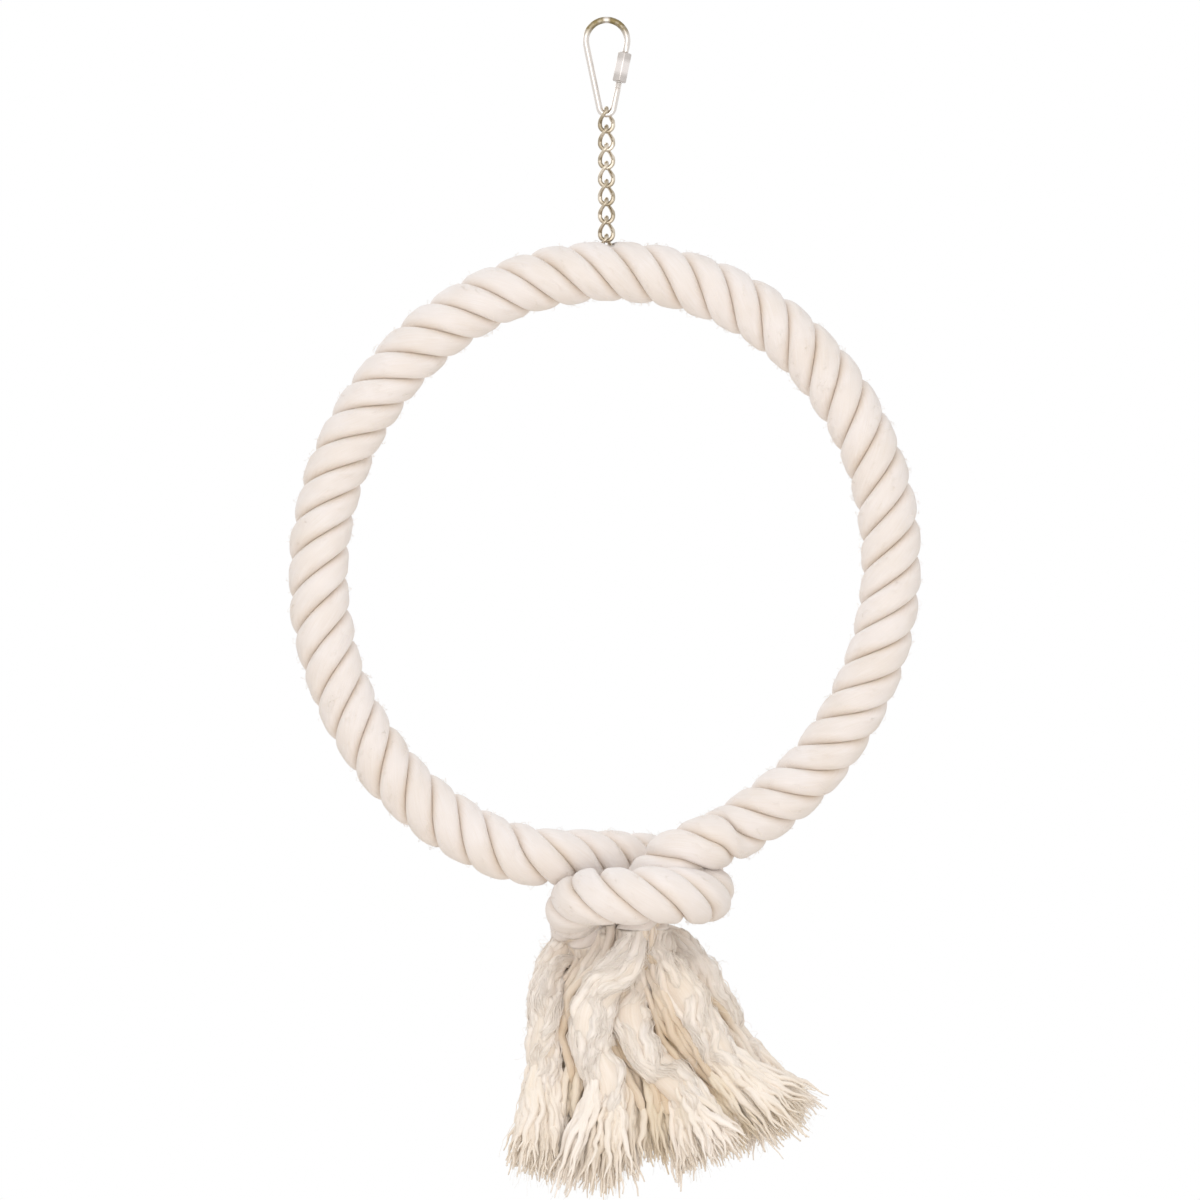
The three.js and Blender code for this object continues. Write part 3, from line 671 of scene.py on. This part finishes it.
for arm, end, (leftmost, rightmost), (front, back) in CURTAINS:
    draw = np.random.default_rng(200 + end)
    spot = end_middle[end]
    heading = end_tangent[end] * (-1 if end == 0 else 1)
    yarns = []
    for bundle in range(CURTAIN_BUNDLES):
        out = draw.uniform(-1, 1, 2)
        first = spot + CURTAIN_ROOT * (out[0] * end_side[end] + out[1] * end_across[end])
        first = first - CURTAIN_INSIDE * heading
        last = np.array([
            leftmost + (bundle + 0.5) / CURTAIN_BUNDLES * (rightmost - leftmost),
            back if bundle % 2 else front, 0,
        ])
        last[2] = CURTAIN_BOTTOM + draw.uniform(-4, 6) * MM + CURTAIN_RISE * eased(last[0], 5 * MM, 45 * MM)
        second = first + heading * 14 * MM
        bulge = np.array([draw.normal(0, 4), draw.normal(0, 2.5), 0]) * MM
        wave = np.array([draw.normal(0, 4), draw.normal(0, 2.5), 0]) * MM
        third = second * 0.62 + last * 0.38 + bulge + (last - second) * (0.14, 0, 0)
        fourth = second * 0.28 + last * 0.72 + wave
        line = evenly_along(smooth_line([first, second, third, fourth, last]), CURTAIN_STEPS)[0]
        far = np.linspace(0, 1, CURTAIN_STEPS)
        turn = np.arange(BUNDLE_YARNS)[:, None] * math.pi * GOLDEN_TURN + 1.8 * far + draw.uniform(0, 6)
        reach = BUNDLE_RADIUS * np.sqrt((np.arange(BUNDLE_YARNS)[:, None] + 0.3) / BUNDLE_YARNS)
        drift = wander(draw, BUNDLE_YARNS, CURTAIN_STEPS, 90 * MM, 45 * MM, 0.7 * MM)
        yarns.append(line + level(reach[:, :, None] * spokes(turn) + drift))
    yarns = np.concatenate(yarns)
    thick = yarn_thickness(draw, len(yarns), 0.8, far)
    # Painted shade: yarns towards the front of a curtain take up to 0.75 of the shaded colour, less near the
    # root and the end.
    inside = 0.75 * (1 - eased(yarns[:, :, 1], (front + back) / 2 - 3 * MM, back))
    depth = inside * eased(far, -0.2, 0.5) * (1 - 0.7 * eased(far, 0.75, 1))
    curtain = tubes(f"loose_yarns_{arm}", yarns, thick, YARN_SIDES, depth)
    curtain.data.materials.append(loose_cotton)
    hairs = combed_fibres(f"curtain_fibres_{arm}", draw, yarns, CURTAIN_FIBRES)
    hairs.data.materials.append(frayed_cotton)
    for piece in (curtain, hairs):
        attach(piece, "ring")
    fringe = frayed_end(
        f"frayed_yarns_{arm}", draw, yarns, yarns[:, -1].mean(axis=0), down, *RIGHT_AND_BACK,
        CURTAIN_FRINGE, 0.4 * MM, 0.15,
    )
    loose_ends[0 if arm == "left" else STRANDS][4].extend([curtain, hairs, fringe])


# Core wire and its anchor
# A stiff drawn wire along the middle of the rope keeps the ring round, and the chain's last link holds
# it from inside the rope. Neither shows, and both keep their CAD shape.
def make_metal(material, surface, colour, roughness):
    """Gives a metal its colour and its roughness."""
    material.node_tree.links.new(colour, surface.inputs["Base Color"])
    material.node_tree.links.new(roughness, surface.inputs["Roughness"])
    surface.inputs["Metallic"].default_value = 1.0


def steel_material(name, bright, dull, roughness, patch):
    """Nickel-plated or drawn steel: a warm metal that has gone a little dull in patches."""
    material, surface = new_material(name)
    world = add_node(material, "ShaderNodeTexCoord")
    patches = add_node(
        material, "ShaderNodeTexNoise", {"Scale": 1 / patch, "Detail": 4.0, "Roughness": 0.6},
        {"Vector": world.outputs["Object"]},
    )
    tone = add_node(
        material, "ShaderNodeMapRange", {"From Min": 0.35, "From Max": 0.65},
        {"Value": patches.outputs["Fac"]},
    )
    colour = add_node(
        material, "ShaderNodeMix", {"data_type": "RGBA", 6: srgb(bright), 7: srgb(dull)},
        {0: tone.outputs["Result"]},
    )
    rough = add_node(
        material, "ShaderNodeMapRange",
        {"From Min": 0.3, "From Max": 0.7, "To Min": roughness - 0.08, "To Max": roughness + 0.12},
        {"Value": patches.outputs["Fac"]},
    )
    make_metal(material, surface, colour.outputs[2], rough.outputs["Result"])
    return material


drawn_steel = steel_material("drawn_steel_core", "#8F8F8F", "#6F6A64", 0.5, 4 * MM)
nickel_plate = steel_material("nickel_plated_steel", "#DCD1C1", "#A89A82", 0.28, 6 * MM)
for name, finish in (("core_wire", drawn_steel), ("anchor_link", nickel_plate)):
    frame["nodes"][name].data.materials.clear()
    frame["nodes"][name].data.materials.append(finish)


# Rope
# Three strands of cotton roving laid right-handed round the wire. Each strand is full and soft, its
# crest rounds down into narrow grooves, and its yarns run slightly across it, nearly along the rope.
RING_STEP = 1.1 * MM
CREST_POINTS = 72
WALL_POINTS = 6
GROOVE_DEPTH = 4.8 * MM
GROOVE_POWER = 4.0
WALL_GAP = 0.12 * MM
EDGE_POWER = 6  # how closely the groove's shade keeps to the edge of a strand
GROOVE_SHADE = 0.45
YARN_WIDTH = 2.1 * MM
YARN_HEIGHT = 0.16 * MM
YARN_SLANT = 0.95  # mm round the strand for each mm along the rope
YARN_JITTER = 0.35
JITTER_WAVE = 23 * MM
UNEVEN = 0.35 * MM
LINK_ROOM = 4.7 * MM
# The knot's front band presses up against the ring and pushes the other arm aside. Each rises and fades
# between two places along the rope, the band from its start and the other arm from its end.
BAND_LIFT = 5 * MM
BAND_RISES = (14 * MM, 44 * MM)
BAND_FADES = (75 * MM, 118 * MM)
ARM_PUSH = 4 * MM
ARM_RISES = (5 * MM, 27 * MM)
ARM_FADES = (45 * MM, 78 * MM)
FUZZ_FIBRES = 500
FUZZ_LENGTH = 7 * MM
FUZZ_STAND_OFF = 0.4 * MM
FUZZ_EVERY = 4  # steps of the rope from one place for a fibre to the next

rope_cotton = cotton_material("laid_cotton_rope", "#EEE7E4", "#D9C8B2", 0.45 * MM, 12 * MM, 0.22 * MM, 0.3)
ring_count = round(rope_length / RING_STEP)
middle, tangent, side, across, turn, squeeze = rope_frames(ring_count)
along_rope = np.linspace(0, rope_length, ring_count)
from_end = rope_length - along_rope
middle[:, 2] += BAND_LIFT * (eased(along_rope, *BAND_RISES) - eased(along_rope, *BAND_FADES))
middle[:, 0] += ARM_PUSH * (eased(from_end, *ARM_RISES) - eased(from_end, *ARM_FADES))
half_sector = math.pi / STRANDS
# The points of a crest lie closer together towards its grooves.
crest_angles = np.linspace(-1, 1, CREST_POINTS)
crest_angles = half_sector * np.sign(crest_angles) * (1 - (1 - np.abs(crest_angles)) ** 1.25)
rope_radius = ROPE_DIAMETER / 2
core_room = CORE_DIAMETER / 2 + 0.3 * MM
for number in range(1, STRANDS + 1):
    draw = np.random.default_rng(10 + number)
    slow = sum(
        size * np.sin(math.tau * along_rope / stretch + draw.uniform(0, math.tau))
        for size, stretch in ((0.5, 37 * MM), (0.35, 71 * MM), (0.25, 17 * MM))
    )
    crest = crest_angles[None, :] * np.ones((ring_count, 1))
    edge = np.abs(crest / half_sector)
    height = rope_radius - GROOVE_DEPTH * edge**GROOVE_POWER
    fade = 1 - edge**EDGE_POWER
    place = crest * rope_radius + YARN_SLANT * along_rope[:, None]
    jitter = YARN_JITTER * np.sin(math.tau * along_rope[:, None] / JITTER_WAVE + 3 * crest)
    yarn_wave = np.abs(np.sin(math.pi * place / YARN_WIDTH + jitter)) ** 0.7 - 0.65
    height = height + fade * (YARN_HEIGHT * yarn_wave + UNEVEN * slow[:, None] * np.cos(crest * 1.5))
    angle = turn[:, None] + math.tau * (number - 0.5) / STRANDS
    outer = height[:, :, None] * spokes(crest * 0.999)
    outer[:, :, 1] -= WALL_GAP / 2 * edge**8 * np.sign(crest)
    wall_radii = np.linspace(rope_radius - GROOVE_DEPTH, core_room, WALL_POINTS + 1)[1:]
    wall = np.stack([wall_radii * math.cos(half_sector), wall_radii * math.sin(half_sector)], axis=-1)
    wall[:, 1] -= WALL_GAP / 2
    inner = np.vstack([wall, wall[-2::-1] * (1, -1)])
    inner[WALL_POINTS - 1] = (core_room * 1.05, 0)
    section = np.concatenate([outer, np.broadcast_to(inner, (ring_count, *inner.shape))], axis=1)
    section *= squeeze[:, None, None]
    outward = np.cos(angle)[:, :, None] * side[:, None] + np.sin(angle)[:, :, None] * across[:, None]
    sideward = -np.sin(angle)[:, :, None] * side[:, None] + np.cos(angle)[:, :, None] * across[:, None]
    points = middle[:, None] + section[:, :, :1] * outward + section[:, :, 1:] * sideward
    # The strands part round the link that goes into the rope.
    beside = points[:, :, :2].copy()
    near = np.linalg.norm(beside, axis=2, keepdims=True)
    above = eased(points[:, :, 2:], core_highest.z - 6 * MM, core_highest.z + 2 * MM)
    pushed = np.clip(LINK_ROOM - near, 0, None) * above
    points[:, :, :2] += beside / np.maximum(near, 1e-6) * pushed
    size = section.shape[1]
    index = np.arange(ring_count * size).reshape(ring_count, size)
    faces = [*skin(index), index[0, ::-1].tolist(), index[-1].tolist()]
    around = np.concatenate([place, np.zeros((ring_count, len(inner)))], axis=1)
    # Painted shade: the edges of each crest take some of the shaded colour, and the walls down into the
    # grooves take all of it.
    groove = np.concatenate([GROOVE_SHADE * edge**EDGE_POWER, np.ones((ring_count, len(inner)))], axis=1)
    strand = fibrous_piece(
        f"laid_strand_{number}", points, faces, around, np.repeat(along_rope, size), groove,
    )
    strand.data.materials.append(rope_cotton)
    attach(strand, "ring")
    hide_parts(f"rope_strand_{number}")
    # Fine fibre ends stand off the crest all along the strand.
    bare = np.abs(crest_angles) < half_sector * 0.8
    crests = np.swapaxes(points[::FUZZ_EVERY, :CREST_POINTS][:, bare][:, ::6], 0, 1)
    fuzz = strays(
        f"rope_fuzz_{number}", draw, crests, FUZZ_FIBRES, FUZZ_STAND_OFF, 0, FUZZ_LENGTH,
        middle[::FUZZ_EVERY],
    )
    fuzz.data.materials.append(frayed_cotton)
    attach(fuzz, "ring")


# Chain
# Seven visible links and the one that enters the rope: each a loop of nickel-plated wire, welded shut
# on one side and twisted a quarter turn, so that the chain lies flat and every bow seats in the next.
LINK_WIRE = 2.1 * MM
LINK_OPENING = 9 * MM
LINK_WIDTH = 8.4 * MM
LINKS = 8
WELD_LENGTH = 0.7 * MM
WELD_SWELLING = 0.14


def nothing_selected():
    bpy.ops.object.select_all(action="DESELECT")


def only(piece):
    nothing_selected()
    piece.select_set(True)
    bpy.context.view_layer.objects.active = piece


def apply_modifiers(piece):
    only(piece)
    for modifier in list(piece.modifiers):
        bpy.ops.object.modifier_apply(modifier=modifier.name)


def settle(piece):
    """Leaves the piece's object at the origin, with its place in its mesh."""
    only(piece)
    bpy.ops.object.transform_apply(location=True, rotation=True, scale=True)


nothing_selected()
bow = (LINK_WIDTH - LINK_WIRE) / 2
straight = LINK_OPENING + LINK_WIRE - 2 * bow
bpy.ops.mesh.primitive_torus_add(
    major_radius=bow, minor_radius=LINK_WIRE / 2, major_segments=48, minor_segments=16,
    rotation=(math.pi / 2, 0, 0),
)
link = bpy.context.object
settle(link)
# The torus is parted at its waist and its two halves are drawn apart, which makes the straight sides.
bpy.ops.object.mode_set(mode="EDIT")
work = bmesh.from_edit_mesh(link.data)
for vertex in work.verts:
    if abs(vertex.co.z) > 0.0001 * MM:
        vertex.co.z += math.copysign(straight / 2, vertex.co.z)
bmesh.update_edit_mesh(link.data)
bpy.ops.mesh.select_all(action="DESELECT")
work = bmesh.from_edit_mesh(link.data)
for edge in work.edges:
    edge.select = abs(edge.verts[0].co.z - edge.verts[1].co.z) > straight / 4
bmesh.update_edit_mesh(link.data)
bpy.ops.mesh.subdivide(number_cuts=5)
bpy.ops.object.mode_set(mode="OBJECT")
# Weld: a slight swelling half way up one side.
for vertex in link.data.vertices:
    if vertex.co.x > 0:
        swelling = WELD_SWELLING * math.exp(-((vertex.co.z / WELD_LENGTH) ** 2))
        vertex.co.x = bow + (vertex.co.x - bow) * (1 + swelling)
        vertex.co.y *= 1 + swelling
twist = link.modifiers.new("quarter turn", "SIMPLE_DEFORM")
twist.deform_method = "TWIST"
twist.deform_axis = "Z"
twist.angle = math.radians(90)
total = straight / 2 + bow + LINK_WIRE / 2
reach = straight / 2 + bow / 2
twist_start = -0.5 * reach
twist.limits = ((total + twist_start) / (2 * total), (total + reach) / (2 * total))
apply_modifiers(link)
link.rotation_euler.z = -math.radians(90) * twist_start / (reach - twist_start)
settle(link)
for number in range(1, LINKS + 1):
    copy = link.copy()
    copy.data = link.data.copy()
    copy.name = f"twisted_link_{number}"
    bpy.context.scene.collection.objects.link(copy)
    low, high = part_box(f"chain_link_{number}")
    copy.location = (0, 0, (low.z + high.z) / 2)
    settle(copy)
    bpy.ops.object.shade_smooth()
    copy.data.materials.append(nickel_plate)
    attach(copy, f"link_{number}" if number < LINKS else "ring")
    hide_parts(f"chain_link_{number}")
bpy.data.objects.remove(link)


# Screw link
# A nickel-plated rod bent to a pear shape, open at its right leg and threaded there, and a hexagonal
# nut with chamfered ends that is run up over the gap to shut it. The crown carries a painted
# reflection: a darker brown colour on its upper sides.
ROD = 3.1 * MM
CROWN_RADIUS = 9.9 * MM
CROWN_HEIGHT = -8.35 * MM
TIP_RADIUS = 3.4 * MM
BEND_SPACING = 31.8 * MM
GATE_TOP = 8.25 * MM  # down the right leg from the end of the crown
GATE_OPENING = 5.5 * MM
THREAD_PITCH = 0.75 * MM  # the real pitch is 0.5 mm, drawn coarser so that it shows
THREADS = 5
THREAD_ROOT = 0.8  # of the rod's radius
RUN_OUT = 0.4  # mm from the plain rod to a thread
NUT_LENGTH = 14 * MM
NUT_FLATS = 6.4 * MM
NUT_BORE = ROD + 0.7 * MM
NUT_CHAMFER = 0.7 * MM
NUT_MIDDLE = 11 * MM
leg_lean = math.asin((CROWN_RADIUS - TIP_RADIUS) / BEND_SPACING)
leg_length = BEND_SPACING * math.cos(leg_lean)
right_leg_down = Vector((-math.sin(leg_lean), 0, -math.cos(leg_lean)))
left_leg_down = Vector((math.sin(leg_lean), 0, -math.cos(leg_lean)))
right_leg_start = Vector((
    CROWN_RADIUS * math.cos(leg_lean), 0, CROWN_HEIGHT - CROWN_RADIUS * math.sin(leg_lean),
))


def extruded(step, scale=1.0):
    """Draws the selected end of a rod out by a step, and scales it about its new middle."""
    bpy.ops.mesh.extrude_region_move(TRANSFORM_OT_translate={"value": step})
    if scale != 1.0:
        work = bmesh.from_edit_mesh(bpy.context.edit_object.data)
        middle = sum((v.co for v in work.verts if v.select), Vector()) / sum(v.select for v in work.verts)
        bpy.ops.transform.resize(value=(scale,) * 3, center_override=middle)


def threaded(turns):
    """Draws the end up the right leg by so many turns of a thread, each a crest and a root."""
    for _ in range(turns):
        for share, scale in ((0.35, 1 / THREAD_ROOT), (0.15, 1.0), (0.35, THREAD_ROOT), (0.15, 1.0)):
            extruded(-right_leg_down * THREAD_PITCH * share, scale)


nothing_selected()
threaded_top = GATE_TOP - THREAD_PITCH * THREADS
bpy.ops.mesh.primitive_circle_add(
    vertices=32, radius=ROD / 2 * THREAD_ROOT, fill_type="NGON", rotation=(0, leg_lean, 0),
    location=right_leg_start + right_leg_down * GATE_TOP,
)
rod = bpy.context.object
rod.name = "bent_rod"
settle(rod)
bpy.ops.object.mode_set(mode="EDIT")
bpy.ops.mesh.select_all(action="SELECT")
threaded(THREADS)
extruded(-right_leg_down * RUN_OUT * MM, 1 / THREAD_ROOT)
extruded(-right_leg_down * (threaded_top - RUN_OUT * MM))
bpy.ops.mesh.spin(
    steps=40, angle=math.pi + 2 * leg_lean, center=(0, 0, CROWN_HEIGHT), axis=(0, 1, 0),
)
for stretch in range(6):
    extruded(left_leg_down * leg_length / 6)
bpy.ops.mesh.spin(
    steps=24, angle=math.pi - 2 * leg_lean, center=(0, 0, CROWN_HEIGHT - BEND_SPACING), axis=(0, 1, 0),
)
lower_threads = 2 * THREADS
threads_start = GATE_TOP + GATE_OPENING + RUN_OUT * MM + lower_threads * THREAD_PITCH
extruded(-right_leg_down * (leg_length - threads_start))
extruded(-right_leg_down * RUN_OUT * MM, THREAD_ROOT)
threaded(lower_threads)
bpy.ops.mesh.select_all(action="SELECT")
bpy.ops.mesh.remove_doubles(threshold=0.01 * MM)
bpy.ops.mesh.normals_make_consistent(inside=False)
bpy.ops.object.mode_set(mode="OBJECT")
bpy.ops.object.shade_smooth_by_angle(angle=math.radians(50))

nut_place = right_leg_start + right_leg_down * NUT_MIDDLE
nut_corner = NUT_FLATS / 2 / math.cos(math.pi / 6)


def upright_on_leg(vertices, radius, depth):
    """A prism or a cylinder in the nut's place, along the leg."""
    bpy.ops.mesh.primitive_cylinder_add(
        vertices=vertices, radius=radius, depth=depth, location=nut_place, rotation=(0, leg_lean, 0),
    )
    piece = bpy.context.object
    settle(piece)
    return piece


def bevelled(piece, width, segments, sharper_than=30):
    """Bevels the edges that turn by more than so many degrees."""
    bevel = piece.modifiers.new("bevel", "BEVEL")
    bevel.width = width
    bevel.segments = segments
    bevel.limit_method = "ANGLE"
    bevel.angle_limit = math.radians(sharper_than)
    apply_modifiers(piece)


nut = upright_on_leg(6, nut_corner, NUT_LENGTH)
nut.name = "hexagonal_nut"
bevelled(nut, 0.25 * MM, 3)
# The turned blank that chamfers the nut's ends, and the drill that bores it.
blank = upright_on_leg(64, nut_corner, NUT_LENGTH)
bevelled(blank, NUT_CHAMFER, 1)
drill = upright_on_leg(48, NUT_BORE / 2, NUT_LENGTH * 1.2)
for tool, work_done in ((blank, "INTERSECT"), (drill, "DIFFERENCE")):
    cut = nut.modifiers.new("cut", "BOOLEAN")
    cut.operation = work_done
    cut.object = tool
    cut.solver = "EXACT"
    apply_modifiers(nut)
    bpy.data.objects.remove(tool)
bevelled(nut, 0.12 * MM, 2, 25)
bpy.ops.object.shade_smooth_by_angle(angle=math.radians(35))

# Nickel that is bright on the legs. On both sides of the spot at the top of the crown where it hangs, a
# darker brown is painted into the colour in patches, and the metal is rougher there: the brown is a
# painted reflection of dark surroundings.
REFLECTION_PATCH = 2.5 * MM
nickel_with_painted_reflection, reflection_surface = new_material("bright_nickel_painted_reflection")
reflection_place = add_node(nickel_with_painted_reflection, "ShaderNodeTexCoord")
reflection_axes = add_node(nickel_with_painted_reflection, "ShaderNodeSeparateXYZ", {}, {0: reflection_place.outputs["Object"]})
reflection_height = add_node(
    nickel_with_painted_reflection, "ShaderNodeMapRange", {"From Min": -6.5 * MM, "From Max": -2.5 * MM},
    {"Value": reflection_axes.outputs["Z"]},
)
reflection_from_middle = add_node(
    nickel_with_painted_reflection, "ShaderNodeMath", {"operation": "ABSOLUTE"}, {0: reflection_axes.outputs["X"]},
)
reflection_beside = add_node(
    nickel_with_painted_reflection, "ShaderNodeMapRange", {"From Min": 0.5 * MM, "From Max": 2 * MM, "To Min": 0.25},
    {"Value": reflection_from_middle.outputs["Value"]},
)
reflection_patches = add_node(
    nickel_with_painted_reflection, "ShaderNodeTexNoise", {"Scale": 1 / REFLECTION_PATCH, "Detail": 3.0},
    {"Vector": reflection_place.outputs["Object"]},
)
reflection_strength = add_node(
    nickel_with_painted_reflection, "ShaderNodeMapRange", {"From Min": 0.3, "From Max": 0.55, "To Min": 0.65},
    {"Value": reflection_patches.outputs["Fac"]},
)
reflection_both = add_node(
    nickel_with_painted_reflection, "ShaderNodeMath", {"operation": "MULTIPLY"},
    {0: reflection_height.outputs["Result"], 1: reflection_beside.outputs["Result"]},
)
reflection_amount = add_node(
    nickel_with_painted_reflection, "ShaderNodeMath", {"operation": "MULTIPLY"},
    {0: reflection_both.outputs["Value"], 1: reflection_strength.outputs["Result"]},
)
# Painted reflection: the colour goes to a dark brown where the mask is strong.
reflection_colour = add_node(
    nickel_with_painted_reflection, "ShaderNodeMix", {"data_type": "RGBA", 6: srgb("#DDD6D0"), 7: srgb("#8A7B58")},
    {0: reflection_amount.outputs["Value"]},
)
crown_roughness = add_node(
    nickel_with_painted_reflection, "ShaderNodeMapRange", {"To Min": 0.22, "To Max": 0.5},
    {"Value": reflection_amount.outputs["Value"]},
)
make_metal(nickel_with_painted_reflection, reflection_surface, reflection_colour.outputs[2], crown_roughness.outputs["Result"])

# The same nickel on the nut, greyer and rougher at its two ends. The grey is a painted reflection: the darker
# look of the chamfered ends is put into the colour.
nut_nickel, nut_surface = new_material("nickel_nut_painted_end_reflection")
nut_point = add_node(nut_nickel, "ShaderNodeTexCoord")
nut_offset = add_node(
    nut_nickel, "ShaderNodeVectorMath", {"operation": "SUBTRACT", 1: nut_place},
    {0: nut_point.outputs["Object"]},
)
nut_along = add_node(
    nut_nickel, "ShaderNodeVectorMath", {"operation": "DOT_PRODUCT", 1: right_leg_down},
    {0: nut_offset.outputs["Vector"]},
)
nut_from_middle = add_node(
    nut_nickel, "ShaderNodeMath", {"operation": "ABSOLUTE"}, {0: nut_along.outputs["Value"]},
)
nut_end_reflection = add_node(
    nut_nickel, "ShaderNodeMapRange", {"From Min": 2.0 * MM, "From Max": 4.4 * MM},
    {"Value": nut_from_middle.outputs["Value"]},
)
# Painted reflection: the colour goes greyer towards both ends of the nut.
nut_colour = add_node(
    nut_nickel, "ShaderNodeMix", {"data_type": "RGBA", 6: srgb("#EDE6E2"), 7: srgb("#CCC5C0")},
    {0: nut_end_reflection.outputs["Result"]},
)
nut_roughness = add_node(
    nut_nickel, "ShaderNodeMapRange", {"To Min": 0.25, "To Max": 0.42},
    {"Value": nut_end_reflection.outputs["Result"]},
)
make_metal(nut_nickel, nut_surface, nut_colour.outputs[2], nut_roughness.outputs["Result"])
for piece, node, body, finish in (
    (rod, "quick_link_body", "screw_link", nickel_with_painted_reflection), (nut, "quick_link_nut", "nut", nut_nickel),
):
    piece.data.materials.append(finish)
    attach(piece, body)
    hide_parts(node)


# Studio
# A white floor some way below the tassel and a white sky, two soft lamps in front, one high and one low,
# and one behind on the left.
FLOOR_DROP = 0.16
FLOOR_SIZE = 8
SKY_STRENGTH = 0.8


def seen_directly(material):
    """1 for the rays that the camera sends, also where they are mirrored or go through, and else 0."""
    path = add_node(material, "ShaderNodeLightPath")
    seen = path.outputs["Is Camera Ray"]
    for ray in ("Is Glossy Ray", "Is Transmission Ray"):
        either = add_node(
            material, "ShaderNodeMath", {"operation": "MAXIMUM"}, {0: seen, 1: path.outputs[ray]},
        )
        seen = either.outputs["Value"]
    return seen


bpy.ops.mesh.primitive_plane_add(size=FLOOR_SIZE, location=(0, 0, cad_box[0].z - FLOOR_DROP))
floor = bpy.context.object
floor.name = "studio_floor"
white_floor, floor_surface = new_material("painted_white_floor")
floor_surface.inputs["Base Color"].default_value = srgb("#ECE5DC")
floor_surface.inputs["Roughness"].default_value = 0.9
floor_paint = add_node(white_floor, "ShaderNodeEmission", {"Color": srgb("#FFFFFF"), "Strength": 1.0})
floor_mix = add_node(
    white_floor, "ShaderNodeMixShader", {},
    {0: seen_directly(white_floor), 1: floor_surface.outputs["BSDF"], 2: floor_paint.outputs["Emission"]},
)
white_floor.node_tree.links.new(
    floor_mix.outputs["Shader"], white_floor.node_tree.nodes["Material Output"].inputs["Surface"],
)
floor.data.materials.append(white_floor)

world = bpy.data.worlds.new("studio")
bpy.context.scene.world = world
world.use_nodes = True
sky = world.node_tree.nodes["Background"]
sky.inputs["Color"].default_value = srgb("#FFFFFF")
sky.inputs["Strength"].default_value = SKY_STRENGTH
seen_sky = add_node(world, "ShaderNodeBackground", {"Color": srgb("#FFFFFF"), "Strength": 1.0})
sky_mix = add_node(
    world, "ShaderNodeMixShader", {},
    {0: seen_directly(world), 1: sky.outputs["Background"], 2: seen_sky.outputs["Background"]},
)
world.node_tree.links.new(sky_mix.outputs["Shader"], world.node_tree.nodes["World Output"].inputs["Surface"])

object_middle = Vector((0, 0, (cad_box[0].z + cad_box[1].z) / 2))
for place, width, power in (
    ((-0.25, -1.2, 0.65), 1.1, 4.5),
    ((0.2, -1.25, -0.3), 0.9, 5),
    ((-0.6, 0.8, 0.7), 0.9, 3),
):
    bpy.ops.object.light_add(type="AREA", location=Vector(place) + object_middle)
    lamp = bpy.context.object
    lamp.data.size = width
    lamp.data.energy = power
    lamp.rotation_euler = (object_middle - lamp.location).to_track_quat("-Z", "Y").to_euler()

bpy.context.scene.view_settings.view_transform = "Standard"
